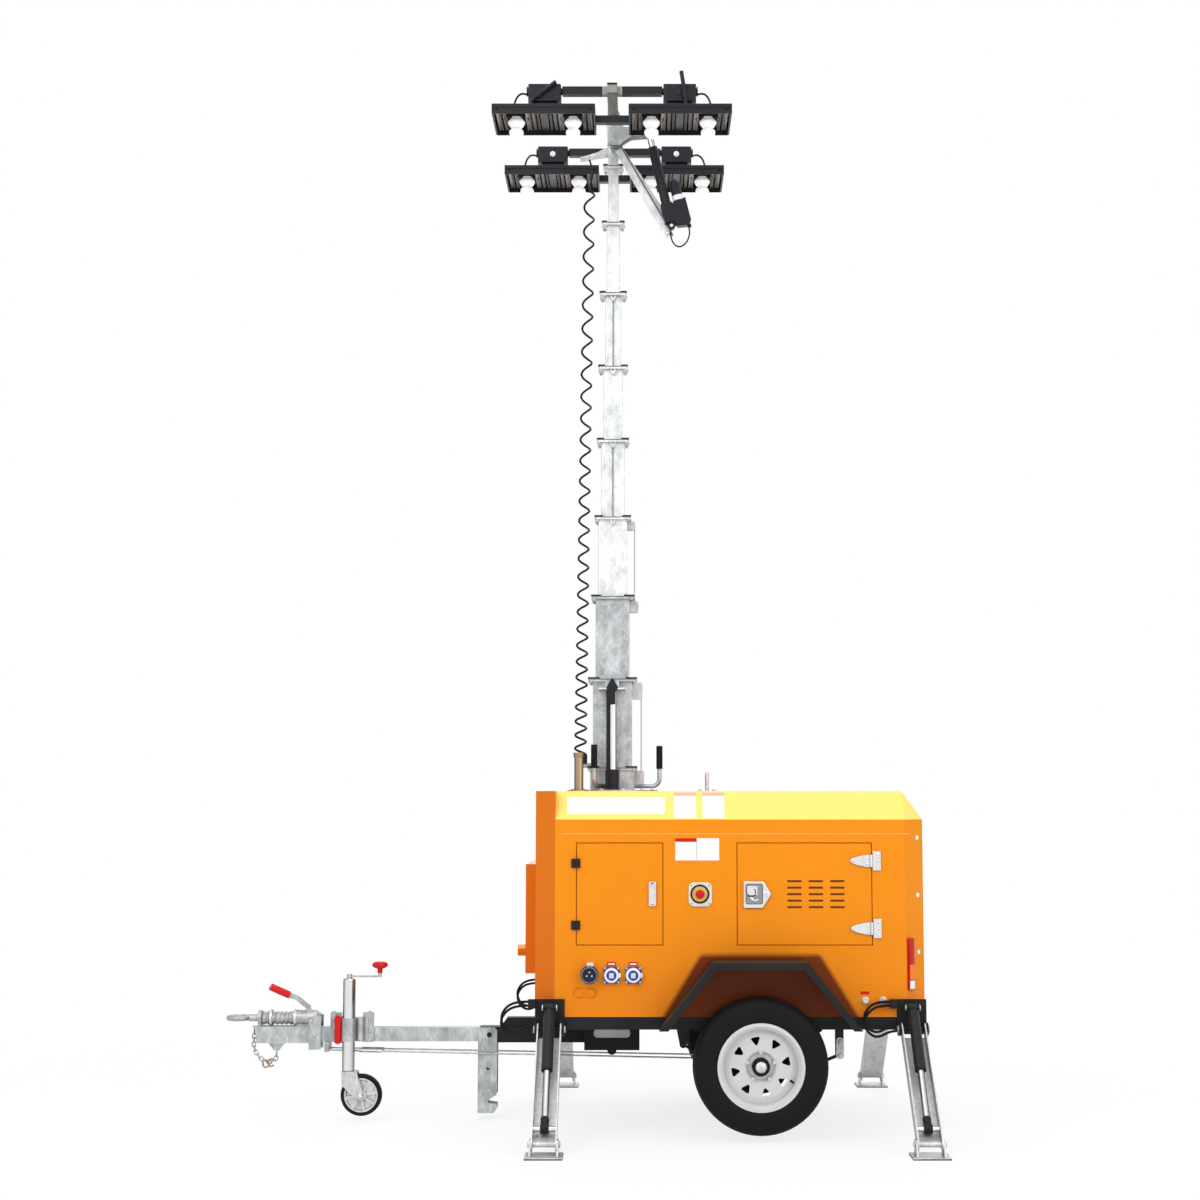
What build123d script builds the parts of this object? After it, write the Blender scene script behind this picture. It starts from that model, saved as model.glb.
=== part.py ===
from build123d import *
import math
import os

os.makedirs("parts", exist_ok=True)

# The light tower stands on its four outrigger feet with the mast partly raised.
# Millimetres. X runs from the tow eye to the rear, Y from the near side (minus)
# to the far side (plus), Z is up from the ground. The origin is on the ground,
# below the middle of the whole length.

# Running and seating clearances
seat_gap = 0.3
door_gap = 4.0
pivot_gap = 4.0

# Canopy
body_front = -147.0
body_length = 1825.0
body_half_width = 570.0
corner_cut = 96.0
canopy_bottom = 543.0
seam_height = 1385.0
shoulder_rise = 67.0
slope_rise = 133.0
shoulder_height = seam_height + shoulder_rise
roof_height = shoulder_height + slope_rise
wall = 25.0
body_rear = body_front + body_length
panel_front = body_front + corner_cut
panel_rear = body_rear - corner_cut

# Chassis
floor_sheet = 6.0
rail_width = 60.0
rail_bottom = 485.0
rail_height = canopy_bottom - floor_sheet - rail_bottom
spine_size = 76.0
spine_wall = 4.7
spine_bottom = 365.0
spine_front = -436.0
spine_mid = spine_bottom + spine_size / 2
cross_width = 50.0

# Outriggers
leg_inset = 75.0
leg_beam_width = 120.0
leg_beam_reach = body_half_width + 1
leg_front_x = body_front + leg_inset
leg_rear_x = body_rear - leg_inset
ear_thickness = 8.0
ear_radius = 30.0
pivot_y = leg_beam_reach + 51
pivot_z = 492.0
foot_pin_y = leg_beam_reach + 538
foot_pin_z = 55.0
ram_pin_y = leg_beam_reach + 43
ram_pin_z = 590.0
leg_width = leg_beam_width - 2 * pivot_gap
leg_depth = 60.0
leg_sheet = 6.0
ram_eye_along = 575.0
ram_eye_rise = 5.0
ram_eye_radius = 20.0
ram_eye_width = 36.0
ram_radius = 26.0
ram_rod_radius = 15.0
ram_barrel_length = 345.0
ram_rod_inside = 130.0
ram_neck = 8.0
pin_radius = 12.0
foot_length = 164.0
foot_width = 150.0
foot_plate = 10.0
foot_lug = 8.0
hose_radius = 6.0
hose_block = 32.0
hose_block_z = 605.0

# Axle and wheels
axle_x = 895.0
axle_z = 335.0
axle_size = 45.0
stub_radius = 20.0
tyre_radius = 310.0
tyre_width = 185.0
tyre_seat_radius = 188.0
rim_radius = 199.0
wheel_inner_y = body_half_width + 10
hub_radius = 40.0
spring_y = body_half_width - rail_width / 2
spring_width = 50.0
leaf_thickness = 8.0
leaf_count = 4
spring_front_eye = (545.0, 415.0)
spring_rear_eye = (1270.0, 369.0)
shackle_top_z = 432.0

# Fenders
fender_top = 806.0
fender_low = 499.0
fender_top_half = 214.0
fender_low_half = 462.0
fender_sheet = 4.0
fender_lip = 32.0
fender_reach = wheel_inner_y + tyre_width + 11

# Mast: one row for each moving section, lowest first:
# outer width, wall, height of its top, width of its top collar
mast_x = 209.0
mast_sections = (
    (193.0, 4.0, 2141.0, 240.0),
    (168.0, 4.0, 2553.0, 211.0),
    (144.0, 4.0, 2954.0, 180.0),
    (118.0, 3.0, 3348.0, 159.0),
    (96.0, 3.0, 3724.0, 147.0),
    (80.0, 3.0, 4105.0, 135.0),
    (66.0, 3.0, 4474.0, 113.0),
    (52.0, 3.0, 4759.0, 100.0),
)
mast_base_width = 218.0
mast_base_wall = 4.0
mast_base_top = roof_height + 118
mast_base_bottom = canopy_bottom + 17
mast_collar = 242.0
collar_thickness = 14.0
stack_pitch = 55.0
spigot_radius = 80.0
mast_foot_half = 134.0
mast_foot_bottom = 339.0
mast_foot_sheet = 8.0
turntable_radius = 225.0
turntable_thickness = 8.0
lift_ram_y = 152.0
lift_ram_radius = 33.0
lift_rod_radius = 21.0
lift_ram_top = mast_base_top - 13
lift_ram_bottom = 640.0
lift_rod_top = mast_sections[0][2] - 17

# Lamp frame
lamp_axis_z = 5015.0
lamp_row_y = 463.0
lamp_side_x = 331.0
tray_length = 490.0
tray_depth = 316.0
tray_height = 47.0
tray_bottom = 4841.0
tray_sheet = 4.0
crossbar_size = 40.0
crossbar_z = 5008.0
crossbar_journal = 17.0
tray_box_length = 160.0
tray_box_depth = 96.0
tray_box_bottom = 4945.0
tray_box_top = 5030.0
lamp_beam_size = 50.0
journal_radius = 28.0
sleeve_radius = 38.0
sleeve_half = 60.0

# Tilt actuator, in the plane beside the arm
arm_top = (227.0, 4870.0)
arm_end = (505.0, 4440.0)
arm_width = 40.0
arm_y = -62.0
actuator_y = -97.0
lever_pin = (392.0, 4922.0)
rod_fork_half = 21.0

# Drawbar
draw_size = 66.0
draw_wall = 5.0
draw_mid = 403.0
draw_front = -1215.0
draw_rear = -290.0
coupler_front = -1533.0
rod_front = -1175.0
rod_front_y = 48.0
rod_front_z = 330.0
rod_rear = 850.0
rod_rear_y = 74.0
rod_rear_z = 290.0
brake_rod_radius = 4.0
coupler_bottom = 362.0
coupler_height = 80.0
coupler_width = 80.0
nose_lug = 24.0
eye_axis_z = 480.0
eye_mean_radius = 46.0
eye_wire_radius = 12.5
eye_x = -1627.0
eye_bore_radius = 36.0

# Parking stand on the drawbar
stand_pin_x = -391.0
stand_left = -446.0
stand_right = -353.0
stand_bottom = 28.0
stand_sheet = 6.0
stand_inner = spine_size / 2 + pivot_gap

# Jockey wheel
jockey_x = -1072.0
jockey_y = 88.0
jockey_top = 672.0
jockey_tube_radius = 30.0
jockey_tube_bottom = 238.0
jockey_wheel_x = -1006.0
jockey_wheel_z = 122.0
jockey_wheel_radius = 100.0
jockey_wheel_width = 50.0


def save(piece, label):
    piece.label = label
    export_step(piece, f"parts/{label}.step")


def save_both(piece, label):
    far = mirror(piece, about=Plane.XZ)
    save(piece, f"{label}_near")
    save(far, f"{label}_far")


def side_plane(y):
    # A plane facing the near side: local X is along the machine, local Y is up.
    return Plane.XZ.offset(-y)


# Canopy outline: an octagon in plan, sloping in above the shoulder.
def canopy_outline(inset):
    cut = corner_cut - inset * (2 - math.sqrt(2))
    front = body_front + inset
    rear = body_rear - inset
    half = body_half_width - inset
    return [
        (front + cut, -half),
        (rear - cut, -half),
        (rear, cut - half),
        (rear, half - cut),
        (rear - cut, half),
        (front + cut, half),
        (front, half - cut),
        (front, cut - half),
    ]


def canopy_block(inset):
    rise = roof_height - shoulder_height
    slopes = [
        ((0, -body_half_width, shoulder_height), (0, -rise, corner_cut)),
        ((0, body_half_width, shoulder_height), (0, rise, corner_cut)),
        ((body_rear, 0, shoulder_height), (rise, 0, corner_cut)),
        ((panel_rear, -body_half_width, shoulder_height), (rise, -rise, corner_cut)),
        ((panel_rear, body_half_width, shoulder_height), (rise, rise, corner_cut)),
    ]
    with BuildPart() as block:
        with BuildSketch(Plane.XY.offset(canopy_bottom)):
            with BuildLine():
                Polyline(*canopy_outline(inset), close=True)
            make_face()
        extrude(amount=roof_height - inset - canopy_bottom)
        for origin, normal in slopes:
            cutter = Plane(origin=origin, z_dir=normal).offset(-inset)
            split(bisect_by=cutter, keep=Keep.BOTTOM)
    return block.part


outer_block = canopy_block(0)
inner_block = canopy_block(wall)
with BuildPart() as shell_part:
    with BuildSketch(Plane.XY.offset(canopy_bottom)):
        with BuildLine():
            Polyline(*canopy_outline(0), close=True)
        make_face()
    extrude(amount=roof_height - canopy_bottom)
    split(bisect_by=Plane.YZ.offset(panel_front), keep=Keep.BOTTOM)
    add(outer_block)
    add(inner_block, mode=Mode.SUBTRACT)
shell = shell_part.part
roof_opening_radius = turntable_radius - 20

# Doors: name, hinge x, free x (both edges of the leaf)
door_low = 874.0
door_high = 1341.0
doors = (
    ("door_control", 51.0, 450.0),
    ("door_service", 1424.0, 800.0),
)
hinge_proud = 8.0

with BuildPart() as canopy_front:
    add(shell)
    split(bisect_by=Plane.YZ.offset(panel_front), keep=Keep.BOTTOM)
    # the flat switch cabinet on the front wall, with its cable inlet
    with BuildSketch(Plane.YZ.offset(body_front)):
        with Locations((0, 979.0)):
            Rectangle(620, 517)
    extrude(amount=-55)
    with BuildSketch(Plane.YZ.offset(body_front - 55)):
        with Locations((-190, 822)):
            Circle(27)
    extrude(amount=-43)
save(canopy_front.part, "canopy_front")

jamb_lip = 14.0
jamb_depth = 10.0
with BuildPart() as canopy_side:
    add(shell)
    split(bisect_by=Plane.YZ.offset(panel_front), keep=Keep.TOP)
    split(bisect_by=Plane.YZ.offset(panel_rear), keep=Keep.BOTTOM)
    split(bisect_by=Plane.XY.offset(seam_height), keep=Keep.BOTTOM)
    split(bisect_by=Plane.XZ.offset(body_half_width - 2 * wall), keep=Keep.TOP)
    for name, hinge_x, free_x in doors:
        mid = (hinge_x + free_x) / 2
        width = abs(free_x - hinge_x) + 2 * door_gap
        height = door_high - door_low + 2 * door_gap
        centre = (mid, (door_low + door_high) / 2)
        with BuildSketch(side_plane(-body_half_width)):
            with Locations(centre):
                Rectangle(width, height)
        extrude(amount=-wall, mode=Mode.SUBTRACT)
        with BuildSketch(side_plane(wall - body_half_width)):
            with Locations(centre):
                Rectangle(width + 2 * jamb_lip, height + 2 * jamb_lip)
                Rectangle(width - 2 * jamb_lip, height - 2 * jamb_lip, mode=Mode.SUBTRACT)
        extrude(amount=-jamb_depth)
    # stadium recess with two plugs, low at the front
    with BuildSketch(side_plane(-body_half_width)):
        with Locations((89, canopy_bottom + 109)):
            SlotOverall(113, 50)
        with Locations((61, canopy_bottom + 109), (117, canopy_bottom + 109)):
            Circle(19, mode=Mode.SUBTRACT)
    extrude(amount=-6, mode=Mode.SUBTRACT)
save_both(canopy_side.part, "canopy_side")

grille_bottom = 900.0
grille_height = 420.0
grille_width = 760.0
slat_count = 9
with BuildPart() as canopy_rear:
    add(shell)
    split(bisect_by=Plane.YZ.offset(panel_rear), keep=Keep.TOP)
    split(bisect_by=Plane.XY.offset(seam_height), keep=Keep.BOTTOM)
    with BuildSketch(Plane.YZ.offset(body_rear)):
        with Locations((0, grille_bottom + grille_height / 2)):
            Rectangle(grille_width, grille_height)
    extrude(amount=-wall, mode=Mode.SUBTRACT)
    slat_pitch = grille_height / slat_count
    for slat in range(slat_count):
        low = grille_bottom + slat_pitch * (slat + 0.2)
        with BuildSketch(Plane.XZ):
            with BuildLine():
                Polyline(
                    (body_rear - wall + 2, low + slat_pitch * 0.55),
                    (body_rear - wall + 6, low + slat_pitch * 0.55),
                    (body_rear - 2, low + 3),
                    (body_rear - 2, low),
                    close=True,
                )
            make_face()
        extrude(amount=grille_width / 2, both=True)
save(canopy_rear.part, "canopy_rear")

eye_hoop_x = 678.0
with BuildPart() as canopy_hood:
    add(shell)
    split(bisect_by=Plane.YZ.offset(panel_front), keep=Keep.TOP)
    split(bisect_by=Plane.XY.offset(seam_height), keep=Keep.TOP)
    with BuildSketch(Plane.XY.offset(roof_height)):
        with Locations((mast_x, 0)):
            Circle(roof_opening_radius)
    extrude(amount=-wall, mode=Mode.SUBTRACT)
    # lifting hoop on the roof, in line with the machine's middle
    with BuildSketch(Plane.YZ.offset(eye_hoop_x)):
        with Locations((0, roof_height + 45)):
            SlotOverall(96, 70, rotation=90)
            SlotOverall(60, 34, rotation=90, mode=Mode.SUBTRACT)
    extrude(amount=9, both=True)
save(canopy_hood.part, "canopy_hood")

# Doors, their hinges and handles. Each leaf turns on knuckles just outside its hinge edge.
knuckle_radius = 7.0
leaf_thick = wall - seat_gap
for name, hinge_x, free_x in doors:
    mid = (hinge_x + free_x) / 2
    toward = 1 if free_x > hinge_x else -1
    with BuildPart() as door:
        with BuildSketch(side_plane(-body_half_width)):
            with Locations((mid, (door_low + door_high) / 2)):
                Rectangle(abs(free_x - hinge_x), door_high - door_low)
        extrude(amount=-leaf_thick)
        if name == "door_service":
            # louvre slots: three columns of five
            with BuildSketch(side_plane(-body_half_width)):
                with Locations((1165, 1106)):
                    with GridLocations(100, 30, 3, 5):
                        Rectangle(66, 10)
            extrude(amount=-leaf_thick, mode=Mode.SUBTRACT)
            # paddle latch plate
            with BuildSketch(side_plane(-body_half_width)):
                with BuildLine():
                    Polyline(
                        (820, 1047),
                        (905, 1043),
                        (944, 1104),
                        (917, 1164),
                        (820, 1164),
                        close=True,
                    )
                make_face()
            extrude(amount=8)
            # strap leaves of the two hinges
            for strap_z in (1255, 946):
                with BuildSketch(side_plane(-body_half_width)):
                    with BuildLine():
                        Polyline(
                            (hinge_x, strap_z - 26),
                            (hinge_x, strap_z + 26),
                            (hinge_x - 90, strap_z + 8),
                            (hinge_x - 98, strap_z),
                            (hinge_x - 90, strap_z - 8),
                            close=True,
                        )
                    make_face()
                extrude(amount=5)
        else:
            with BuildSketch(side_plane(-body_half_width)):
                with Locations((402, 1105)):
                    SlotOverall(113, 34, rotation=90)
            extrude(amount=9)
            for strap_z in (1249, 961):
                with BuildSketch(side_plane(-body_half_width)):
                    with Locations((hinge_x + 9, strap_z)):
                        Rectangle(18, 38)
                extrude(amount=6)
        for strap_z in ((1255, 946) if name == "door_service" else (1249, 961)):
            with BuildSketch(Plane.XY.offset(strap_z)):
                with Locations((hinge_x, -body_half_width - hinge_proud)):
                    Circle(knuckle_radius)
            extrude(amount=18, both=True)
    save_both(door.part, name)

# Floor, rails, cross members, outrigger beams and brackets, mast foot and spine
gusset_front = draw_rear - 45
leg_columns = (leg_front_x, leg_rear_x)
cross_columns = (40.0, 380.0, spring_front_eye[0], spring_rear_eye[0])
with BuildPart() as chassis:
    with BuildSketch(Plane.XY.offset(canopy_bottom - floor_sheet)):
        with BuildLine():
            Polyline(*canopy_outline(0), close=True)
        make_face()
        with Locations((mast_x, 0)):
            Circle(spigot_radius + 20, mode=Mode.SUBTRACT)
    extrude(amount=floor_sheet)
    with BuildSketch(Plane.XY.offset(rail_bottom)):
        for side in (-1, 1):
            with Locations(((leg_front_x + leg_rear_x) / 2, side * (body_half_width - rail_width / 2))):
                Rectangle(leg_rear_x - leg_front_x, rail_width)
        for x in cross_columns:
            with Locations((x, 0)):
                Rectangle(cross_width, 2 * body_half_width - rail_width)
        for x in leg_columns:
            with Locations((x, 0)):
                Rectangle(leg_beam_width, 2 * leg_beam_reach)
    extrude(amount=rail_height)
    # mast foot: a box that hangs between two cross members and holds the spigot
    with BuildSketch(Plane.XY.offset(mast_foot_bottom)):
        with Locations((mast_x, 0)):
            Rectangle(2 * mast_foot_half, 2 * mast_foot_half)
    extrude(amount=rail_bottom - mast_foot_bottom)
    with BuildSketch(Plane.XY.offset(rail_bottom)):
        with Locations((mast_x, 0)):
            Rectangle(cross_columns[1] - cross_columns[0], 2 * mast_foot_half)
    extrude(amount=rail_height)
    with BuildSketch(Plane.XY.offset(mast_foot_bottom + mast_foot_sheet)):
        with Locations((mast_x, 0)):
            Circle(spigot_radius + seat_gap)
    extrude(amount=canopy_bottom - mast_foot_bottom, mode=Mode.SUBTRACT)
    # oval window through the mast foot, and a half-round stop below it
    with BuildSketch(Plane.XZ):
        with Locations((mast_x, mast_foot_bottom + 79)):
            SlotOverall(185, 48)
    extrude(amount=mast_foot_half, both=True, mode=Mode.SUBTRACT)
    with BuildSketch(Plane.XZ):
        with Locations((mast_x, mast_foot_bottom)):
            Circle(22)
        with Locations((mast_x, mast_foot_bottom + 14)):
            Rectangle(44, 28, mode=Mode.SUBTRACT)
    extrude(amount=mast_foot_half, both=True)
    # spine from the drawbar pivot back to the mast foot
    with BuildSketch(Plane.YZ.offset(spine_front)):
        with Locations((0, spine_mid)):
            Rectangle(spine_size, spine_size)
    extrude(amount=mast_x - mast_foot_half - spine_front)
    with BuildSketch(Plane.YZ.offset(spine_front)):
        with Locations((0, draw_mid)):
            Rectangle(draw_size + 2 * seat_gap, draw_size + 2 * seat_gap)
    extrude(amount=draw_rear - spine_front + 1, mode=Mode.SUBTRACT)
    # stub pins on both sides of the spine for the parking stand
    stub_start = draw_size / 2 + 1
    stub_end = stand_inner + stand_sheet + 3
    for side in (-1, 1):
        with BuildSketch(Plane.XZ.offset(side * (stub_start + stub_end) / 2)):
            with Locations((stand_pin_x, spine_mid)):
                Circle(pin_radius)
        extrude(amount=(stub_end - stub_start) / 2, both=True)
    # gusset that carries the spine under the front beam
    with BuildSketch(Plane.XZ):
        with BuildLine():
            Polyline(
                (gusset_front, spine_bottom + spine_size),
                (gusset_front + 30, rail_bottom),
                (leg_front_x + leg_beam_width / 2, rail_bottom),
                (leg_front_x + leg_beam_width / 2, spine_bottom + spine_size),
                close=True,
            )
        make_face()
    extrude(amount=30, both=True)
    # outrigger brackets: back plate, outer ears with the leg pin, inner ears with the ram pin
    for x in leg_columns:
        back_low = rail_bottom - 20
        back_high = ram_pin_z + 35
        for side in (-1, 1):
            back_y = side * (leg_beam_reach + ear_thickness / 2)
            with BuildSketch(Plane.XY.offset(back_low)):
                with Locations((x, back_y)):
                    Rectangle(leg_beam_width + 2 * ear_thickness, ear_thickness)
            extrude(amount=back_high - back_low)
            for hand in (-1, 1):
                ear_x = x + hand * (leg_beam_width / 2 + ear_thickness / 2)
                with BuildSketch(Plane.YZ.offset(ear_x)):
                    with Locations((side * pivot_y, pivot_z)):
                        Circle(ear_radius)
                    with Locations((side * (leg_beam_reach + pivot_y) / 2, pivot_z)):
                        Rectangle(pivot_y - leg_beam_reach, 2 * ear_radius)
                extrude(amount=ear_thickness / 2, both=True)
                inner_x = x + hand * (ram_eye_width / 2 + pivot_gap / 2 + ear_thickness / 2)
                with BuildSketch(Plane.YZ.offset(inner_x)):
                    with Locations((side * ram_pin_y, ram_pin_z)):
                        Circle(ram_eye_radius)
                    with Locations((side * (leg_beam_reach + ram_pin_y) / 2, ram_pin_z)):
                        Rectangle(ram_pin_y - leg_beam_reach, 2 * ram_eye_radius)
                extrude(amount=ear_thickness / 2, both=True)
            with BuildSketch(Plane.XY.offset(hose_block_z - 20)):
                block_x = x - leg_beam_width / 2 - ear_thickness - hose_block / 2
                with Locations((block_x, side * (leg_beam_reach + hose_block / 2 + 2))):
                    Rectangle(hose_block, hose_block + 4)
            extrude(amount=40)
            for pin_y, pin_z, reach in (
                (pivot_y, pivot_z, leg_beam_width / 2 + ear_thickness),
                (ram_pin_y, ram_pin_z, ram_eye_width / 2 + pivot_gap / 2 + ear_thickness),
            ):
                with BuildSketch(Plane.YZ.offset(x)):
                    with Locations((side * pin_y, pin_z)):
                        Circle(pin_radius)
                extrude(amount=reach, both=True)
save(chassis.part, "chassis_frame")


# Outrigger leg, barrel and rod, drawn on the near side for one column and placed by its x
leg_drop = math.atan2(pivot_z - foot_pin_z, foot_pin_y - pivot_y)
leg_length = math.hypot(pivot_z - foot_pin_z, foot_pin_y - pivot_y)
ram_eye_y = pivot_y + ram_eye_along * math.cos(leg_drop) + ram_eye_rise * math.sin(leg_drop)
ram_eye_z = pivot_z - ram_eye_along * math.sin(leg_drop) + ram_eye_rise * math.cos(leg_drop)
ram_drop = math.atan2(ram_pin_z - ram_eye_z, ram_eye_y - ram_pin_y)
ram_length = math.hypot(ram_pin_z - ram_eye_z, ram_eye_y - ram_pin_y)


def leg_plane(x):
    along = (0, -math.cos(leg_drop), -math.sin(leg_drop))
    return Plane(origin=(x, -pivot_y, pivot_z), x_dir=along, z_dir=(-1, 0, 0))


def ram_plane(x):
    along = (0, -math.cos(ram_drop), -math.sin(ram_drop))
    return Plane(origin=(x, -ram_pin_y, ram_pin_z), x_dir=along, z_dir=(-1, 0, 0))


for column, x in (("front", leg_front_x), ("rear", leg_rear_x)):
    side_view = leg_plane(x)
    with BuildPart() as leg:
        for hand in (-1, 1):
            flange_x = hand * (leg_width / 2 - leg_sheet / 2)
            with BuildSketch(side_view.offset(flange_x)):
                with Locations((leg_length / 2, 0)):
                    SlotOverall(leg_length + leg_depth, leg_depth)
                with Locations((0, 0)):
                    Circle(pin_radius + seat_gap, mode=Mode.SUBTRACT)
            extrude(amount=leg_sheet / 2, both=True)
        with BuildSketch(side_view):
            with Locations((leg_length / 2, leg_sheet / 2 - leg_depth / 2)):
                Rectangle(leg_length - leg_depth, leg_sheet)
        extrude(amount=leg_width / 2, both=True)
        # self-levelling foot: base plate, two lugs and its pin
        with BuildSketch(Plane.XY):
            with Locations((x, -foot_pin_y)):
                Rectangle(foot_length, foot_width)
        extrude(amount=foot_plate)
        for hand in (-1, 1):
            with BuildSketch(Plane.YZ.offset(x + hand * (leg_width + foot_lug) / 2)):
                with BuildLine():
                    Polyline(
                        (-foot_pin_y - 45, foot_plate),
                        (-foot_pin_y - 22, foot_pin_z + 20),
                        (-foot_pin_y + 22, foot_pin_z + 20),
                        (-foot_pin_y + 45, foot_plate),
                        close=True,
                    )
                make_face()
            extrude(amount=foot_lug / 2, both=True)
        with BuildSketch(side_view):
            with Locations((leg_length, 0)):
                Circle(pin_radius)
        extrude(amount=leg_width / 2 + foot_lug, both=True)
    save_both(leg.part, f"leg_{column}")

    ram_view = ram_plane(x)
    ram_section = Plane(ram_view.origin, x_dir=(1, 0, 0), z_dir=ram_view.x_dir)
    with BuildPart() as barrel:
        with BuildSketch(ram_view):
            Circle(ram_eye_radius)
            Circle(pin_radius + seat_gap, mode=Mode.SUBTRACT)
        extrude(amount=ram_eye_width / 2, both=True)
        with BuildSketch(ram_section.offset(ram_eye_radius - 3)):
            Circle(ram_eye_width / 2 - 2)
        extrude(amount=ram_neck + 3)
        with BuildSketch(ram_section.offset(ram_eye_radius + ram_neck)):
            Circle(ram_radius)
        extrude(amount=ram_barrel_length - ram_eye_radius - ram_neck)
        with BuildSketch(ram_section.offset(ram_eye_radius + 30)):
            Circle(ram_rod_radius + seat_gap)
        extrude(amount=ram_barrel_length, mode=Mode.SUBTRACT)
    save_both(barrel.part, f"ram_barrel_{column}")

    with BuildPart() as rod:
        with BuildSketch(ram_section.offset(ram_barrel_length - ram_rod_inside)):
            Circle(ram_rod_radius)
        extrude(amount=ram_length - ram_barrel_length + ram_rod_inside)
        with BuildSketch(ram_view):
            with Locations((ram_length, 0)):
                Circle(ram_eye_radius)
        extrude(amount=ram_eye_width / 2, both=True)
        with BuildSketch(ram_view):
            with Locations((ram_length, 0)):
                Circle(pin_radius)
        extrude(amount=leg_width / 2 - leg_sheet - seat_gap, both=True)
    save_both(rod.part, f"ram_rod_{column}")


# Fenders: a folded sheet over each wheel with a broad lip
def arch_outline(inset, low):
    slope = math.atan2(fender_top - fender_low, fender_low_half - fender_top_half)
    top_half = fender_top_half - inset * math.tan(slope / 2)
    low_half = fender_low_half - inset / math.sin(slope) + (fender_low - low) / math.tan(slope)
    top = fender_top - inset
    return [
        (axle_x - low_half, low),
        (axle_x - top_half, top),
        (axle_x + top_half, top),
        (axle_x + low_half, low),
    ]


with BuildPart() as fenders:
    for depth, sheet, start in (
        (fender_reach - body_half_width, fender_sheet, body_half_width),
        (fender_sheet, fender_lip, fender_reach - fender_sheet),
    ):
        with BuildSketch(side_plane(-start)):
            with BuildLine():
                Polyline(*arch_outline(0, fender_low), close=True)
            make_face()
            with BuildLine():
                Polyline(*arch_outline(sheet, fender_low - 60), close=True)
            make_face(mode=Mode.SUBTRACT)
        extrude(amount=depth)
    mirror(about=Plane.XZ)
save(fenders.part, "fenders")

# Axle beam on two leaf springs
leaf_sag = 300.0
leaf_curve = ThreePointArc(spring_front_eye, (axle_x, leaf_sag), spring_rear_eye)
leaf_centre = leaf_curve.arc_center
leaf_angles = [
    math.atan2(z - leaf_centre.Y, x - leaf_centre.X) for x, z in (spring_front_eye, spring_rear_eye)
]
with BuildPart() as axle:
    with BuildSketch(Plane.XZ.offset(0)):
        with Locations((axle_x, axle_z)):
            Rectangle(axle_size, axle_size)
    extrude(amount=spring_y + spring_width / 2, both=True)
    with BuildSketch(Plane.XZ):
        with Locations((axle_x, axle_z)):
            Circle(stub_radius)
    extrude(amount=wheel_inner_y + 105, both=True)
    middle = sum(leaf_angles) / 2
    for leaf in range(leaf_count):
        half_sweep = (leaf_angles[1] - leaf_angles[0]) / 2 * (1 - 0.2 * leaf)
        low = leaf_curve.radius + leaf_thickness * (leaf - 0.5)
        with BuildSketch(Plane.XZ.offset(spring_y - spring_width / 2)):
            with BuildLine():
                ends = []
                for reach in (low, low + leaf_thickness):
                    points = [
                        (leaf_centre.X + reach * math.cos(angle), leaf_centre.Y + reach * math.sin(angle))
                        for angle in (middle - half_sweep, middle, middle + half_sweep)
                    ]
                    ThreePointArc(*points)
                    ends.append((points[0], points[2]))
                Line(ends[0][0], ends[1][0])
                Line(ends[0][1], ends[1][1])
            make_face()
        extrude(amount=spring_width)
    for eye_x_pos, eye_z_pos in (spring_front_eye, spring_rear_eye):
        with BuildSketch(Plane.XZ.offset(spring_y - spring_width / 2)):
            with Locations((eye_x_pos, eye_z_pos)):
                Circle(15)
        extrude(amount=spring_width)
    # bracket of the brake rod on the beam's front face
    with BuildSketch(Plane.YZ.offset(rod_rear)):
        with Locations((-rod_rear_y, (rod_rear_z - 10 + axle_z) / 2)):
            Rectangle(24, axle_z - rod_rear_z + 10)
    extrude(amount=axle_x - axle_size / 2 - rod_rear)
    # spring seat under the beam
    with BuildSketch(Plane.XZ.offset(spring_y - spring_width / 2)):
        with Locations((axle_x, (leaf_sag + axle_z) / 2)):
            Rectangle(90, axle_z - leaf_sag)
    extrude(amount=spring_width)
    # front hanger and rear shackle up to the side rail
    (x0, z0), (x1, z1) = spring_front_eye, spring_rear_eye
    with BuildSketch(Plane.XZ.offset(spring_y - spring_width / 2)):
        with BuildLine():
            Polyline(
                (x0 - 14, z0 - 10),
                (x0 - 30, rail_bottom),
                (x0 + 30, rail_bottom),
                (x0 + 14, z0 - 10),
                close=True,
            )
        make_face()
        with BuildLine():
            Polyline(
                (x1 - 18, shackle_top_z - 14),
                (x1 - 18, rail_bottom),
                (x1 + 18, rail_bottom),
                (x1 + 18, shackle_top_z - 14),
                close=True,
            )
        make_face()
    extrude(amount=spring_width)
    for edge_y in (spring_y - spring_width / 2 - 6, spring_y + spring_width / 2):
        with BuildSketch(Plane.XZ.offset(edge_y)):
            with Locations((x1, (shackle_top_z + z1) / 2)):
                SlotOverall(shackle_top_z - z1 + 34, 34, rotation=90)
        extrude(amount=6)
    mirror(about=Plane.XZ)
save(axle.part, "axle")

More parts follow.
